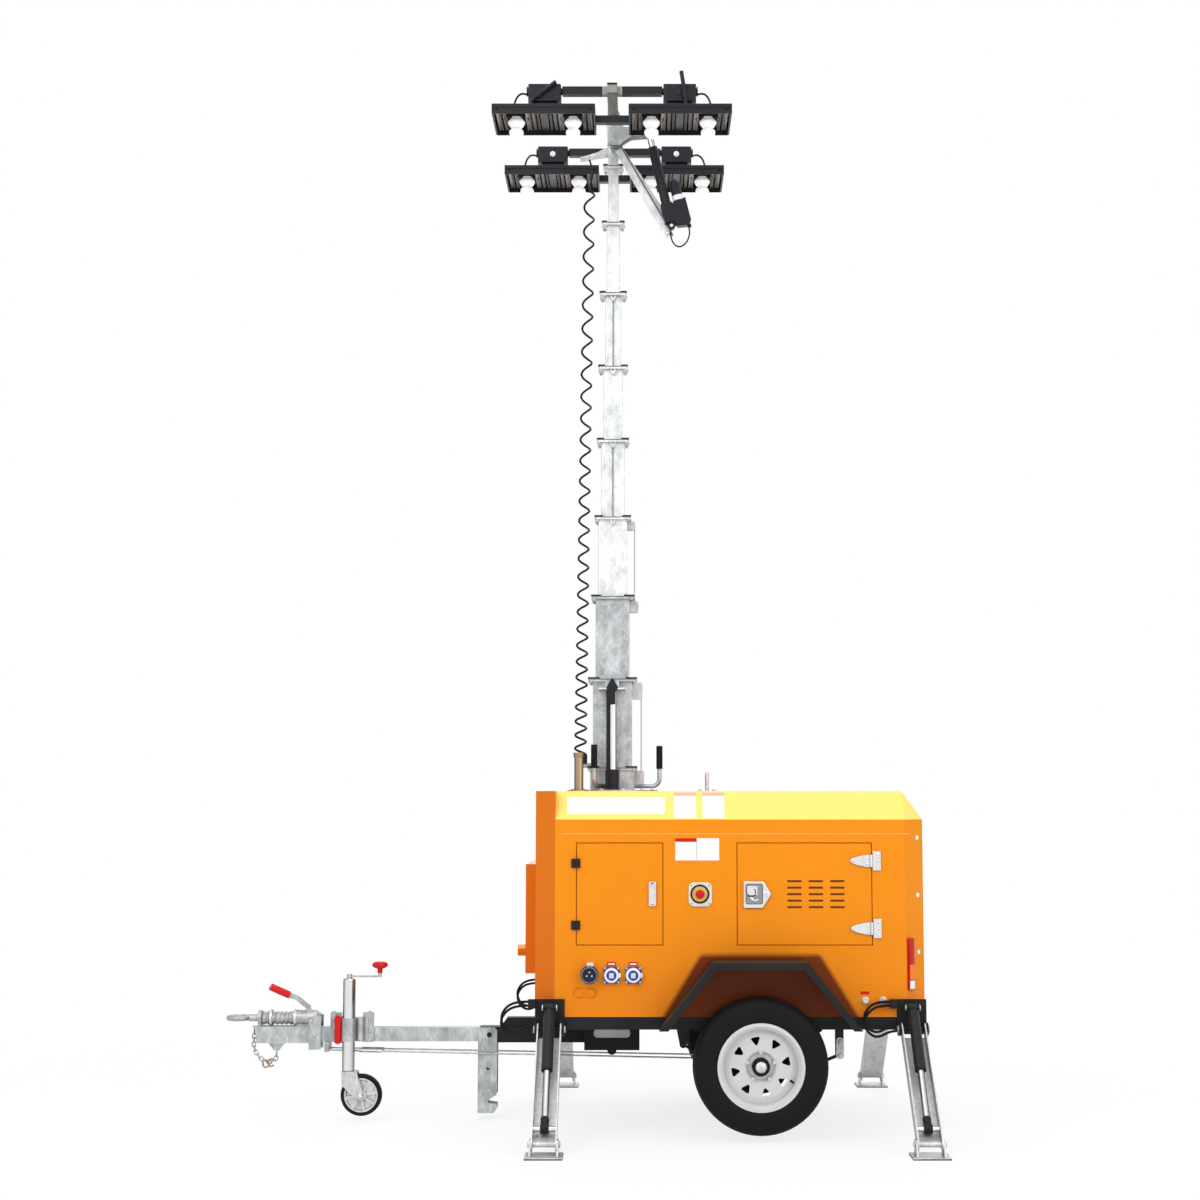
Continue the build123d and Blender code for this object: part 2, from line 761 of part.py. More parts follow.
# Wheels: local X is outward from the machine's middle, local Y is the radius
wheel_view = Plane(origin=(axle_x, 0, axle_z), x_dir=(0, -1, 0), z_dir=(-1, 0, 0))
wheel_axis = Axis((axle_x, 0, axle_z), (0, 1, 0))
tyre_outer_y = wheel_inner_y + tyre_width
with BuildPart() as tyre:
    with BuildSketch(wheel_view):
        with BuildLine():
            Line((wheel_inner_y + 20, tyre_seat_radius), (tyre_outer_y - 20, tyre_seat_radius))
            ThreePointArc(
                (tyre_outer_y - 20, tyre_seat_radius),
                (tyre_outer_y, 250),
                (tyre_outer_y - 16, tyre_radius - 12),
            )
            ThreePointArc(
                (tyre_outer_y - 16, tyre_radius - 12),
                (wheel_inner_y + tyre_width / 2, tyre_radius),
                (wheel_inner_y + 16, tyre_radius - 12),
            )
            ThreePointArc(
                (wheel_inner_y + 16, tyre_radius - 12),
                (wheel_inner_y, 250),
                (wheel_inner_y + 20, tyre_seat_radius),
            )
        make_face()
    revolve(axis=wheel_axis)
save_both(tyre.part, "tyre")

disc_y = wheel_inner_y + 118
with BuildPart() as rim:
    with BuildSketch(wheel_view):
        with BuildLine():
            Polyline(
                (wheel_inner_y + 8, 180),
                (wheel_inner_y + 8, rim_radius),
                (wheel_inner_y + 12, rim_radius),
                (wheel_inner_y + 14, tyre_seat_radius - seat_gap),
                (tyre_outer_y - 14, tyre_seat_radius - seat_gap),
                (tyre_outer_y - 12, rim_radius),
                (tyre_outer_y - 8, rim_radius),
                (tyre_outer_y - 8, 184),
                (tyre_outer_y - 26, 170),
                (wheel_inner_y + 26, 170),
                close=True,
            )
        make_face()
        with BuildLine():
            Polyline(
                (disc_y, 172),
                (disc_y + 8, 172),
                (disc_y + 16, 142),
                (disc_y + 16, 70),
                (disc_y + 4, 56),
                (disc_y + 4, hub_radius - 2),
                (disc_y - 4, hub_radius - 2),
                (disc_y - 4, 58),
                (disc_y + 8, 73),
                (disc_y + 8, 138),
                close=True,
            )
        make_face()
        with BuildLine():
            Polyline(
                (wheel_inner_y + 4, stub_radius + seat_gap),
                (wheel_inner_y + 4, hub_radius),
                (disc_y + 36, hub_radius),
                (disc_y + 42, hub_radius - 6),
                (disc_y + 42, 0),
                (wheel_inner_y + 106, 0),
                (wheel_inner_y + 106, stub_radius + seat_gap),
                close=True,
            )
        make_face()
    revolve(axis=wheel_axis)
    with BuildSketch(Plane(origin=(axle_x, -disc_y, axle_z), x_dir=(1, 0, 0), z_dir=(0, -1, 0))):
        with PolarLocations(120, 8, start_angle=11):
            RegularPolygon(radius=29, side_count=3, rotation=180)
        fillet(vertices(), 7)
    extrude(amount=20, mode=Mode.SUBTRACT)
    with BuildSketch(Plane(origin=(axle_x, -disc_y - 6, axle_z), x_dir=(1, 0, 0), z_dir=(0, -1, 0))):
        with PolarLocations(64, 5, start_angle=90):
            Circle(8)
    extrude(amount=20)
save_both(rim.part, "rim")

# Engine and generator set, one closed mass under the hood
with BuildPart() as engine:
    with BuildSketch(Plane.XY.offset(canopy_bottom)):
        with Locations((980, 0)):
            Rectangle(880, 520)
    extrude(amount=620)
save(engine.part, "engine_block")

# Exhaust stack in front of the mast
with BuildPart() as exhaust:
    with BuildSketch(Plane.XY.offset(roof_height)):
        with Locations((50, -300)):
            Circle(22)
            Circle(19, mode=Mode.SUBTRACT)
    extrude(amount=168)
    with BuildSketch(Plane.XZ.offset(300)):
        with BuildLine():
            Polyline(
                (50 + 19, roof_height + 160),
                (50 + 24, roof_height + 160),
                (50 + 28, roof_height + 186),
                (50 + 24, roof_height + 186),
                close=True,
            )
        make_face()
    revolve(axis=Axis((50, -300, 0), (0, 0, 1)))
    with BuildSketch(Plane.XY.offset(roof_height)):
        with Locations((50, -300)):
            Circle(45)
            Circle(19, mode=Mode.SUBTRACT)
    extrude(amount=6)
save(exhaust.part, "exhaust_stack")

# Sockets, stop button and drain plugs on both sides; lamps on the rear corners
with BuildPart() as fittings:
    with BuildSketch(side_plane(-body_half_width)):
        with Locations((111, 737)):
            Circle(41)
    extrude(amount=45)
    with BuildSketch(side_plane(-body_half_width)):
        with Locations((212, 737), (313, 737)):
            RectangleRounded(74, 74, 8)
    extrude(amount=30)
    with BuildSketch(side_plane(-body_half_width)):
        with Locations((627, 1105)):
            RectangleRounded(108, 108, 20)
    extrude(amount=12)
    with BuildSketch(side_plane(-body_half_width - 12)):
        with Locations((627, 1105)):
            Circle(20)
    extrude(amount=24)
    with BuildSketch(side_plane(-body_half_width)):
        with Locations((1393, 620), (1472, 620)):
            Circle(16)
    extrude(amount=14)
save(fittings.part, "side_fittings")

lamp_low = 666.0
lamp_high = 903.0
corner_mid_x = body_rear - corner_cut / 2
corner_mid_y = -(body_half_width - corner_cut / 2)
with BuildPart() as tail_lamps:
    with BuildSketch(Plane(origin=(corner_mid_x, corner_mid_y, lamp_low), x_dir=(1, 1, 0), z_dir=(0, 0, 1))):
        with Locations((-42, -7)):
            Rectangle(38, 14)
    extrude(amount=lamp_high - lamp_low)
    mirror(about=Plane.XZ)
save(tail_lamps.part, "tail_lamps")

# Drawbar: square tube, the coupling channel in front, brake bracket
with BuildPart() as drawbar:
    with BuildSketch(Plane.YZ.offset(draw_front)):
        with Locations((0, draw_mid)):
            Rectangle(draw_size, draw_size)
            Rectangle(draw_size - 2 * draw_wall, draw_size - 2 * draw_wall, mode=Mode.SUBTRACT)
    extrude(amount=draw_rear - draw_front)
    with BuildSketch(Plane.YZ.offset(coupler_front)):
        with Locations((0, coupler_bottom + coupler_height / 2)):
            Rectangle(coupler_width, coupler_height)
            Rectangle(coupler_width - 10, coupler_height - 10, mode=Mode.SUBTRACT)
    extrude(amount=draw_front - coupler_front)
    with BuildSketch(Plane.YZ.offset(draw_front - 8)):
        with Locations((0, coupler_bottom + coupler_height / 2)):
            Rectangle(coupler_width, coupler_height)
    extrude(amount=8)
    for side in (-1, 1):
        with BuildSketch(Plane.XZ.offset(side * (coupler_width / 2 + 3))):
            with BuildLine():
                Polyline(
                    (-1274, 331),
                    (-1274, 478),
                    (-1250, 493),
                    (-1215, 493),
                    (-1215, 331),
                    close=True,
                )
            make_face()
        extrude(amount=3, both=True)
    # chain lug under the channel
    with BuildSketch(Plane.XZ):
        with BuildLine():
            Polyline(
                (coupler_front + 53, coupler_bottom),
                (coupler_front + 138, coupler_bottom),
                (coupler_front + 108, coupler_bottom - 40),
                (coupler_front + 83, coupler_bottom - 40),
                close=True,
            )
        make_face()
    extrude(amount=4, both=True)
    # small lug at the channel's nose for the safety chain
    with BuildSketch(Plane.XZ):
        with Locations((coupler_front - nose_lug / 2, coupler_bottom + coupler_height - 6)):
            Rectangle(nose_lug, 12)
    extrude(amount=4, both=True)
    # bracket of the two brake rods
    with BuildSketch(Plane.YZ.offset(rod_front - 20)):
        with Locations((0, (rod_front_z - 9 + draw_mid - draw_size / 2) / 2)):
            Rectangle(2 * rod_front_y + 16, draw_mid - draw_size / 2 - rod_front_z + 9)
    extrude(amount=20)
save(drawbar.part, "drawbar")

# Overrun coupling: ring eye, shaft, ribbed boot and bearing housing
with BuildPart() as coupling:
    with BuildSketch(Plane.XZ):
        with Locations((eye_x + eye_mean_radius, eye_axis_z)):
            Circle(eye_wire_radius)
    revolve(axis=Axis((eye_x, 0, 0), (0, 0, 1)))
    with BuildSketch(Plane.XY.offset(eye_axis_z)):
        with Locations((eye_x, 0)):
            Circle(eye_bore_radius)
    extrude(amount=eye_wire_radius, both=True, mode=Mode.SUBTRACT)
    shaft_axis = Axis((0, 0, eye_axis_z), (1, 0, 0))
    with BuildSketch(Plane.XZ):
        with BuildLine():
            boot = [(eye_x + eye_mean_radius + 6, eye_axis_z), (eye_x + eye_mean_radius + 6, eye_axis_z + 17)]
            boot += [(coupler_front + 6, eye_axis_z + 17), (coupler_front + 6, eye_axis_z + 36)]
            boot += [(coupler_front + 22, eye_axis_z + 36)]
            rib_pitch = 22.0
            for rib in range(7):
                rib_x = coupler_front + 22 + rib * rib_pitch
                boot += [(rib_x, eye_axis_z + 27), (rib_x + rib_pitch * 0.5, eye_axis_z + 33)]
            boot += [(-1345, eye_axis_z + 27), (-1345, eye_axis_z + 38), (-1240, eye_axis_z + 38), (-1222, eye_axis_z + 24)]
            boot += [(-1222, eye_axis_z)]
            Polyline(*boot, close=True)
        make_face()
    revolve(axis=shaft_axis)
    # saddle that seats the housing on the channel
    with BuildSketch(Plane.XY.offset(coupler_bottom + coupler_height)):
        with Locations((-1290, 0)):
            Rectangle(110, 50)
        with Locations((coupler_front + 14, 0)):
            Rectangle(16, 50)
    extrude(amount=eye_axis_z - coupler_bottom - coupler_height)
    # hand brake lever with its grip, beside the housing
    with BuildSketch(Plane.XZ.offset(20)):
        with BuildLine():
            lever = Polyline((-1265, 479), (-1283, 536), (-1336, 578), (-1380, 594))
        trace(line_width=24)
    extrude(amount=6, both=True)
    with BuildSketch(Plane(origin=(-1376, -20, 592), x_dir=(0, 1, 0), z_dir=(-93, 0, 40))):
        Circle(17)
    extrude(amount=104)
save(coupling.part, "coupling")

# Parking stand: a channel that straddles the drawbar on a pin, with hook notches
with BuildPart() as stand:
    for side in (-1, 1):
        with BuildSketch(Plane.XZ.offset(side * (stand_inner + stand_sheet / 2))):
            with BuildLine():
                Polyline(
                    (stand_left, stand_bottom),
                    (stand_left, spine_mid + 35),
                    (stand_right - 12, spine_mid + 35),
                    (stand_right, spine_mid + 22),
                    (stand_right, 116),
                    (stand_right - 42, 90),
                    (stand_right - 42, 76),
                    (stand_right, 70),
                    (stand_right, 48),
                    (stand_right - 16, stand_bottom),
                    close=True,
                )
            make_face()
            with Locations((stand_pin_x, spine_mid)):
                Circle(pin_radius + seat_gap, mode=Mode.SUBTRACT)
            with Locations((stand_pin_x - 6, 241)):
                Circle(8, mode=Mode.SUBTRACT)
        extrude(amount=stand_sheet / 2, both=True)
    with BuildSketch(Plane.XY.offset(stand_bottom)):
        with Locations((stand_left + stand_sheet / 2, 0)):
            Rectangle(stand_sheet, 2 * stand_inner)
    extrude(amount=spine_bottom - 10 - stand_bottom)
save(stand.part, "parking_stand")

# Jockey wheel: clamp and outer tube with its crank, inner leg, fork and wheel
with BuildPart() as jockey_clamp:
    tube_low = jockey_tube_bottom
    with BuildSketch(Plane.XY.offset(tube_low)):
        with Locations((jockey_x, -jockey_y)):
            Circle(jockey_tube_radius)
            Circle(jockey_tube_radius - 4, mode=Mode.SUBTRACT)
    extrude(amount=jockey_top - tube_low)
    with BuildSketch(Plane.XY.offset(jockey_top - 4)):
        with Locations((jockey_x, -jockey_y)):
            Circle(jockey_tube_radius)
    extrude(amount=4)
    with BuildSketch(Plane.XY.offset(jockey_top)):
        with Locations((jockey_x, -jockey_y)):
            Circle(14)
    extrude(amount=26)
    with BuildSketch(Plane.XY.offset(jockey_top + 12)):
        with Locations((jockey_x + 75, -jockey_y)):
            Rectangle(160, 14)
    extrude(amount=8)
    with BuildSketch(Plane.XY.offset(jockey_top + 14)):
        with Locations((jockey_x + 148, -jockey_y)):
            Circle(9)
    extrude(amount=50)
    with BuildSketch(Plane.XY.offset(jockey_top + 58)):
        with Locations((jockey_x + 148, -jockey_y)):
            Circle(26)
    extrude(amount=25)
    # saddle plates across the drawbar's near face, bridged behind the tube
    for saddle_x in (-1142.0, -983.0):
        with BuildSketch(Plane.XY.offset(368)):
            with Locations((saddle_x, -(draw_size / 2 + 6))):
                Rectangle(54, 12)
        extrude(amount=142)
    with BuildSketch(Plane.XY.offset(378)):
        with Locations(((-1142.0 - 983.0) / 2, -(draw_size / 2 + 9))):
            Rectangle(160, 18)
        with Locations((jockey_x, -(draw_size / 2 + 18))):
            Rectangle(40, 36)
        with Locations((jockey_x, -jockey_y)):
            Circle(jockey_tube_radius + 6)
        with Locations((jockey_x, -jockey_y)):
            Circle(jockey_tube_radius - 1, mode=Mode.SUBTRACT)
    extrude(amount=110)
    # clamp handle
    with BuildSketch(Plane.XY.offset(368)):
        with Locations((jockey_x - 52, -jockey_y - 6)):
            Rectangle(28, 16)
        with Locations((jockey_x - 38, -jockey_y + 2)):
            Rectangle(24, 12)
    extrude(amount=130)
save(jockey_clamp.part, "jockey_clamp")

jockey_leg_bottom = jockey_tube_bottom - 2
with BuildPart() as jockey_leg:
    with BuildSketch(Plane.XY.offset(jockey_leg_bottom)):
        with Locations((jockey_x, -jockey_y)):
            Circle(jockey_tube_radius - 4 - seat_gap)
            Circle(15 + seat_gap, mode=Mode.SUBTRACT)
    extrude(amount=318)
save(jockey_leg.part, "jockey_leg")

fork_crown_top = jockey_leg_bottom - seat_gap
with BuildPart() as jockey_fork:
    with BuildSketch(Plane.XY.offset(fork_crown_top - 9)):
        with Locations((jockey_x + 8, -jockey_y)):
            Rectangle(74, 74)
    extrude(amount=9)
    with BuildSketch(Plane.XY.offset(fork_crown_top)):
        with Locations((jockey_x, -jockey_y)):
            Circle(15)
    extrude(amount=60)
    for side in (-1, 1):
        with BuildSketch(Plane.XZ.offset(jockey_y + side * 34)):
            with BuildLine():
                Polyline(
                    (jockey_x - 29, fork_crown_top),
                    (jockey_x - 26, 170),
                    (jockey_wheel_x - 22, 108),
                    (jockey_wheel_x + 4, 104),
                    (jockey_wheel_x + 20, 122),
                    (jockey_wheel_x + 8, 144),
                    (jockey_x + 45, fork_crown_top),
                    close=True,
                )
            make_face()
        extrude(amount=3, both=True)
    with BuildSketch(Plane.XZ.offset(jockey_y)):
        with Locations((jockey_wheel_x, jockey_wheel_z)):
            Circle(8)
    extrude(amount=36, both=True)
save(jockey_fork.part, "jockey_fork")

jockey_view = Plane(
    origin=(jockey_wheel_x, -jockey_y, jockey_wheel_z), x_dir=(0, -1, 0), z_dir=(-1, 0, 0)
)
with BuildPart() as jockey_wheel:
    with BuildSketch(jockey_view):
        with BuildLine():
            half = jockey_wheel_width / 2
            Polyline(
                (-half + 4, 82),
                (-half, 90),
                (-half + 6, jockey_wheel_radius - 3),
                (-half + 12, jockey_wheel_radius),
                (half - 12, jockey_wheel_radius),
                (half - 6, jockey_wheel_radius - 3),
                (half, 90),
                (half - 4, 82),
                (half - 4, 60),
                (10, 50),
                (10, 30),
                (half - 2, 26),
                (half, 8 + seat_gap),
                (-half, 8 + seat_gap),
                (-half + 2, 26),
                (-10, 30),
                (-10, 50),
                (-half + 4, 60),
                close=True,
            )
        make_face()
    revolve(axis=Axis((jockey_wheel_x, 0, jockey_wheel_z), (0, 1, 0)))
save(jockey_wheel.part, "jockey_wheel")


# Mast: a turning base and eight telescoping square sections
def square_ring(size, opening, radius):
    ring = RectangleRounded(size, size, radius) - RectangleRounded(opening, opening, 3)
    return Pos(mast_x, 0) * ring


handle_radius = 233.0
handle_low = roof_height + 28
handle_grip = roof_height + 115
socket_bottom = mast_base_top + 19
socket_height = 44.0
base_ring = square_ring(mast_base_width, mast_base_width - 2 * mast_base_wall, 6)
base_collar = square_ring(mast_collar, mast_sections[0][0] + 2 * seat_gap, 14)
with BuildPart() as mast_base:
    with BuildSketch(Plane.XY.offset(mast_base_bottom)):
        add(base_ring)
    extrude(amount=mast_base_top - mast_base_bottom)
    with BuildSketch(Plane.XY.offset(mast_base_top - collar_thickness)):
        add(base_collar)
    extrude(amount=collar_thickness)
    with BuildSketch(Plane.XY.offset(mast_foot_bottom + mast_foot_sheet + seat_gap)):
        with Locations((mast_x, 0)):
            Circle(spigot_radius)
    extrude(amount=mast_base_bottom - mast_foot_bottom - mast_foot_sheet - seat_gap)
    with BuildSketch(Plane.XY.offset(mast_base_bottom)):
        with Locations((mast_x, 0)):
            RectangleRounded(mast_base_width, mast_base_width, 6)
    extrude(amount=8)
    with BuildSketch(Plane.XY.offset(roof_height + seat_gap)):
        with Locations((mast_x, 0)):
            Circle(turntable_radius)
            Rectangle(mast_base_width - 4, mast_base_width - 4, mode=Mode.SUBTRACT)
            with Locations((0, -lift_ram_y)):
                Circle(lift_ram_radius - 2, mode=Mode.SUBTRACT)
    extrude(amount=turntable_thickness)
    # lift ram barrel on the near face
    with BuildSketch(Plane.XY.offset(lift_ram_bottom)):
        with Locations((mast_x, -lift_ram_y)):
            Circle(lift_ram_radius)
    extrude(amount=lift_ram_top - lift_ram_bottom)
    with BuildSketch(Plane.XY.offset(lift_ram_bottom + 40)):
        with Locations((mast_x, -lift_ram_y)):
            Circle(lift_rod_radius + seat_gap)
    extrude(amount=lift_ram_top, mode=Mode.SUBTRACT)
    for strap in (lift_ram_bottom + 60, 1100, roof_height - 80):
        with BuildSketch(Plane.XY.offset(strap)):
            with Locations((mast_x, -(mast_base_width / 2 + lift_ram_y) / 2)):
                Rectangle(40, lift_ram_y - mast_base_width / 2)
            with Locations((mast_x, -lift_ram_y)):
                Circle(lift_rod_radius + seat_gap, mode=Mode.SUBTRACT)
        extrude(amount=40)
    # two turning handles
    for angle in (0, -112):
        bearing = math.radians(angle)
        ux, uy = math.cos(bearing), math.sin(bearing)
        start_r = (mast_base_width / 2 - 2) / max(abs(ux), abs(uy))
        with BuildLine() as handle_path:
            FilletPolyline(
                (mast_x + start_r * ux, start_r * uy, handle_low),
                (mast_x + handle_radius * ux, handle_radius * uy, handle_low),
                (mast_x + handle_radius * ux, handle_radius * uy, handle_grip),
                radius=36,
            )
        with BuildSketch(Plane(origin=handle_path.line @ 0, z_dir=handle_path.line % 0)):
            Circle(11)
        sweep(path=handle_path.line)
        with BuildSketch(Plane.XY.offset(handle_grip)):
            with Locations((mast_x + handle_radius * ux, handle_radius * uy)):
                Circle(15)
        extrude(amount=112)
    # cable socket beside the base
    with BuildSketch(Plane.XY.offset(socket_bottom)):
        with Locations((mast_x - 155, -60)):
            Rectangle(58, 44)
    extrude(amount=socket_height)
    with BuildSketch(Plane.XY.offset(mast_base_top - 2)):
        with Locations((mast_x - 127, -60)):
            Rectangle(48, 40)
    extrude(amount=24)
save(mast_base.part, "mast_base")

previous_top = mast_base_top
for index, (size, thick, top, collar_width) in enumerate(mast_sections):
    lowered_top = mast_base_top + stack_pitch * (index + 1)
    lowered_bottom = mast_base_bottom + 14 + 6 * index
    bottom = top - (lowered_top - lowered_bottom)
    last = index == len(mast_sections) - 1
    tube_ring = square_ring(size, size - 2 * thick, 6)
    if last:
        tube_top = lamp_axis_z - sleeve_radius - 20
        collar_top = top + collar_thickness
        collar_ring = square_ring(collar_width, size - 2, 14)
    else:
        tube_top = top
        collar_top = top
        collar_ring = square_ring(collar_width, mast_sections[index + 1][0] + 2 * seat_gap, 14)
    with BuildPart() as section:
        with BuildSketch(Plane.XY.offset(bottom)):
            add(tube_ring)
        extrude(amount=tube_top - bottom)
        with BuildSketch(Plane.XY.offset(collar_top - collar_thickness)):
            add(collar_ring)
        extrude(amount=collar_thickness)
        if last:
            # head: fork block and bearing sleeve for the lamp beam
            with BuildSketch(Plane.XY.offset(lamp_axis_z - sleeve_radius - 90)):
                with Locations((mast_x, 0)):
                    Rectangle(size + 10, 2 * sleeve_half)
            extrude(amount=90)
            with BuildSketch(Plane.XZ):
                with Locations((mast_x, lamp_axis_z)):
                    Circle(sleeve_radius)
                with Locations((mast_x, lamp_axis_z - sleeve_radius)):
                    Rectangle(2 * sleeve_radius - 10, 2 * sleeve_radius)
            extrude(amount=sleeve_half, both=True)
            with BuildSketch(Plane.XZ):
                with Locations((mast_x, lamp_axis_z)):
                    Circle(journal_radius + seat_gap)
            extrude(amount=sleeve_half, both=True, mode=Mode.SUBTRACT)
            # arm that carries the tilt actuator
            arm_dx = arm_end[0] - arm_top[0]
            arm_dz = arm_end[1] - arm_top[1]
            with BuildSketch(Plane.XZ.offset(-arm_y - 8)):
                with BuildLine():
                    Line(arm_top, arm_end)
                trace(line_width=arm_width)
            extrude(amount=8)
            with BuildSketch(Plane.XZ.offset(-arm_y - 34)):
                with Locations((arm_top[0], arm_top[1] + 8)):
                    Rectangle(60, 56)
            extrude(amount=34)
            with BuildSketch(Plane.XZ.offset(-arm_y)):
                with Locations(arm_end):
                    Circle(9)
            extrude(amount=arm_y - actuator_y + 12)
            # cable arm to the left
            with BuildSketch(Plane.XZ):
                with BuildLine():
                    Polyline(
                        (mast_x, 4880),
                        (mast_x, 4838),
                        (40, 4812),
                        (40, 4830),
                        close=True,
                    )
                make_face()
            extrude(amount=5, both=True)
        if index == 0:
            # lift rod hangs from a bracket under the first collar
            with BuildSketch(Plane.XY.offset(lift_rod_top - 30)):
                with Locations((mast_x, -(size / 2 + lift_ram_y + 24) / 2)):
                    Rectangle(56, lift_ram_y + 24 - size / 2)
            extrude(amount=30)
            rod_low = lift_ram_bottom + 60 + (top - lowered_top)
            with BuildSketch(Plane.XY.offset(rod_low)):
                with Locations((mast_x, -lift_ram_y)):
                    Circle(lift_rod_radius)
            extrude(amount=lift_rod_top - rod_low)
    save(section.part, f"mast_{index + 1}")

# Lamp frame: beam on its journal, two crossbars, four mounting boxes and the lever
lever_x, lever_z = lever_pin
lever_outline = (
    (mast_x - 29, lamp_axis_z + 15),
    (mast_x + 29, lamp_axis_z + 15),
    (mast_x + 53, lever_z + 28),
    (lever_x + 6, lever_z + 17),
    (lever_x + 12, lever_z - 16),
    (mast_x + 91, lever_z - 26),
    (mast_x + 53, lever_z - 50),
    (mast_x + 31, lever_z - 70),
    (mast_x - 13, lever_z - 70),
    (mast_x - 25, lever_z - 20),
)
with BuildPart() as lamp_frame:
    with BuildSketch(Plane.XZ):
        with Locations((mast_x, lamp_axis_z)):
            Circle(journal_radius)
    extrude(amount=sleeve_half + 4, both=True)
    for side in (-1, 1):
        beam_start = sleeve_half + seat_gap
        beam_end = lamp_row_y + 40
        with BuildSketch(Plane.XZ.offset(side * (beam_start + beam_end) / 2)):
            with Locations((mast_x, lamp_axis_z)):
                Rectangle(lamp_beam_size, lamp_beam_size)
        extrude(amount=(beam_end - beam_start) / 2, both=True)
        with BuildSketch(Plane.YZ.offset(mast_x)):
            with Locations((side * lamp_row_y, crossbar_z)):
                Rectangle(crossbar_size, crossbar_size)
        extrude(amount=lamp_side_x - tray_box_length / 2 - 6, both=True)
        with BuildSketch(Plane.YZ.offset(mast_x)):
            with Locations((side * lamp_row_y, crossbar_z)):
                Circle(crossbar_journal)
        extrude(amount=lamp_side_x + tray_box_length / 2 + 9, both=True)
        for hand in (-1, 1):
            with BuildSketch(Plane.YZ.offset(mast_x + hand * (lamp_side_x + tray_box_length / 2 + 6))):
                with Locations((side * lamp_row_y, crossbar_z)):
                    Circle(crossbar_journal + 7)
            extrude(amount=3, both=True)
    # lever plates that straddle the actuator's rod eye
    for plate_y in (actuator_y - rod_fork_half - 8, actuator_y + rod_fork_half):
        with BuildSketch(Plane.XZ.offset(-plate_y - 8)):
            with BuildLine():
                Polyline(*lever_outline, close=True)
            make_face()
            with Locations(lever_pin):
                Circle(20)
        extrude(amount=8)
save(lamp_frame.part, "lamp_frame")

# Lamp trays: open downward, two to a row, tied together
tray_top = tray_bottom + tray_height
with BuildPart() as trays:
    for hand in (-1, 1):
        tray_x = mast_x + hand * lamp_side_x
        with BuildSketch(Plane.XY.offset(tray_bottom)):
            with Locations((tray_x, -lamp_row_y)):
                Rectangle(tray_length, tray_depth)
        extrude(amount=tray_height)
        with BuildSketch(Plane.XY.offset(tray_bottom)):
            with Locations((tray_x, -lamp_row_y)):
                Rectangle(tray_length - 2 * tray_sheet, tray_depth - 2 * tray_sheet)
        extrude(amount=tray_height - tray_sheet, mode=Mode.SUBTRACT)
        with BuildSketch(Plane.XY.offset(tray_top)):
            with Locations((tray_x, -lamp_row_y)):
                Rectangle(120, 60)
        extrude(amount=tray_box_bottom - tray_top)
        with BuildSketch(Plane.XY.offset(tray_box_bottom)):
            with Locations((tray_x, -lamp_row_y)):
                RectangleRounded(tray_box_length, tray_box_depth, 10)
        extrude(amount=tray_box_top - tray_box_bottom)
        with BuildSketch(Plane.YZ.offset(tray_x)):
            with Locations((-lamp_row_y, crossbar_z)):
                Circle(crossbar_journal + seat_gap)
        extrude(amount=tray_box_length, both=True, mode=Mode.SUBTRACT)
    with BuildSketch(Plane.XY.offset(tray_bottom + 4)):
        with Locations((mast_x, -lamp_row_y)):
            Rectangle(2 * lamp_side_x - tray_length + 2, 40)
    extrude(amount=36)
save_both(trays.part, "lamp_trays")

bulb_x = 139.0
bulb_radius = 41.0
with BuildPart() as bulbs:
    for hand in (-1, 1):
        for lamp_hand in (-1, 1):
            bulb_centre = mast_x + hand * lamp_side_x + lamp_hand * bulb_x
            ceiling = tray_top - tray_sheet - seat_gap
            with BuildSketch(Plane.XZ.offset(lamp_row_y)):
                with BuildLine():
                    Polyline(
                        (bulb_centre, ceiling),
                        (bulb_centre + 22, ceiling),
                        (bulb_centre + 26, ceiling - 20),
                        (bulb_centre + bulb_radius, ceiling - 42),
                        (bulb_centre + 26, ceiling - 64),
                        (bulb_centre + 35, ceiling - 88),
                        (bulb_centre + 24, ceiling - 108),
                        (bulb_centre, ceiling - 114),
                        close=True,
                    )
                make_face()
            revolve(axis=Axis((bulb_centre, -lamp_row_y, 0), (0, 0, 1)))
save_both(bulbs.part, "lamp_bulbs")

# Tilt actuator: geared body pinned at the arm's end, rod up to the lever
act_dx = lever_pin[0] - arm_end[0]
act_dz = lever_pin[1] - arm_end[1]
act_length = math.hypot(act_dx, act_dz)
act_up = (act_dx / act_length, 0, act_dz / act_length)
act_origin = (arm_end[0], actuator_y, arm_end[1])
act_view = Plane(origin=act_origin, x_dir=(0, 1, 0), z_dir=act_up)
tube_end = 420.0
with BuildPart() as actuator:
    with BuildSketch(Plane.XZ.offset(-actuator_y)):
        with Locations(arm_end):
            Circle(20)
            Circle(9 + seat_gap, mode=Mode.SUBTRACT)
    extrude(amount=16, both=True)
    with BuildSketch(act_view.offset(16)):
        Rectangle(50, 60)
    extrude(amount=100)
    with BuildSketch(act_view.offset(60)):
        Circle(24)
    extrude(amount=tube_end - 60)
    with BuildSketch(act_view.offset(110)):
        Circle(16 + seat_gap)
    extrude(amount=tube_end, mode=Mode.SUBTRACT)
    # motor beside the tube
    with BuildSketch(act_view.offset(60)):
        with Locations((0, -64)):
            Circle(27)
    extrude(amount=150)
    with BuildSketch(act_view.offset(60)):
        with Locations((0, -40)):
            Rectangle(44, 60)
    extrude(amount=50)
save(actuator.part, "tilt_actuator")

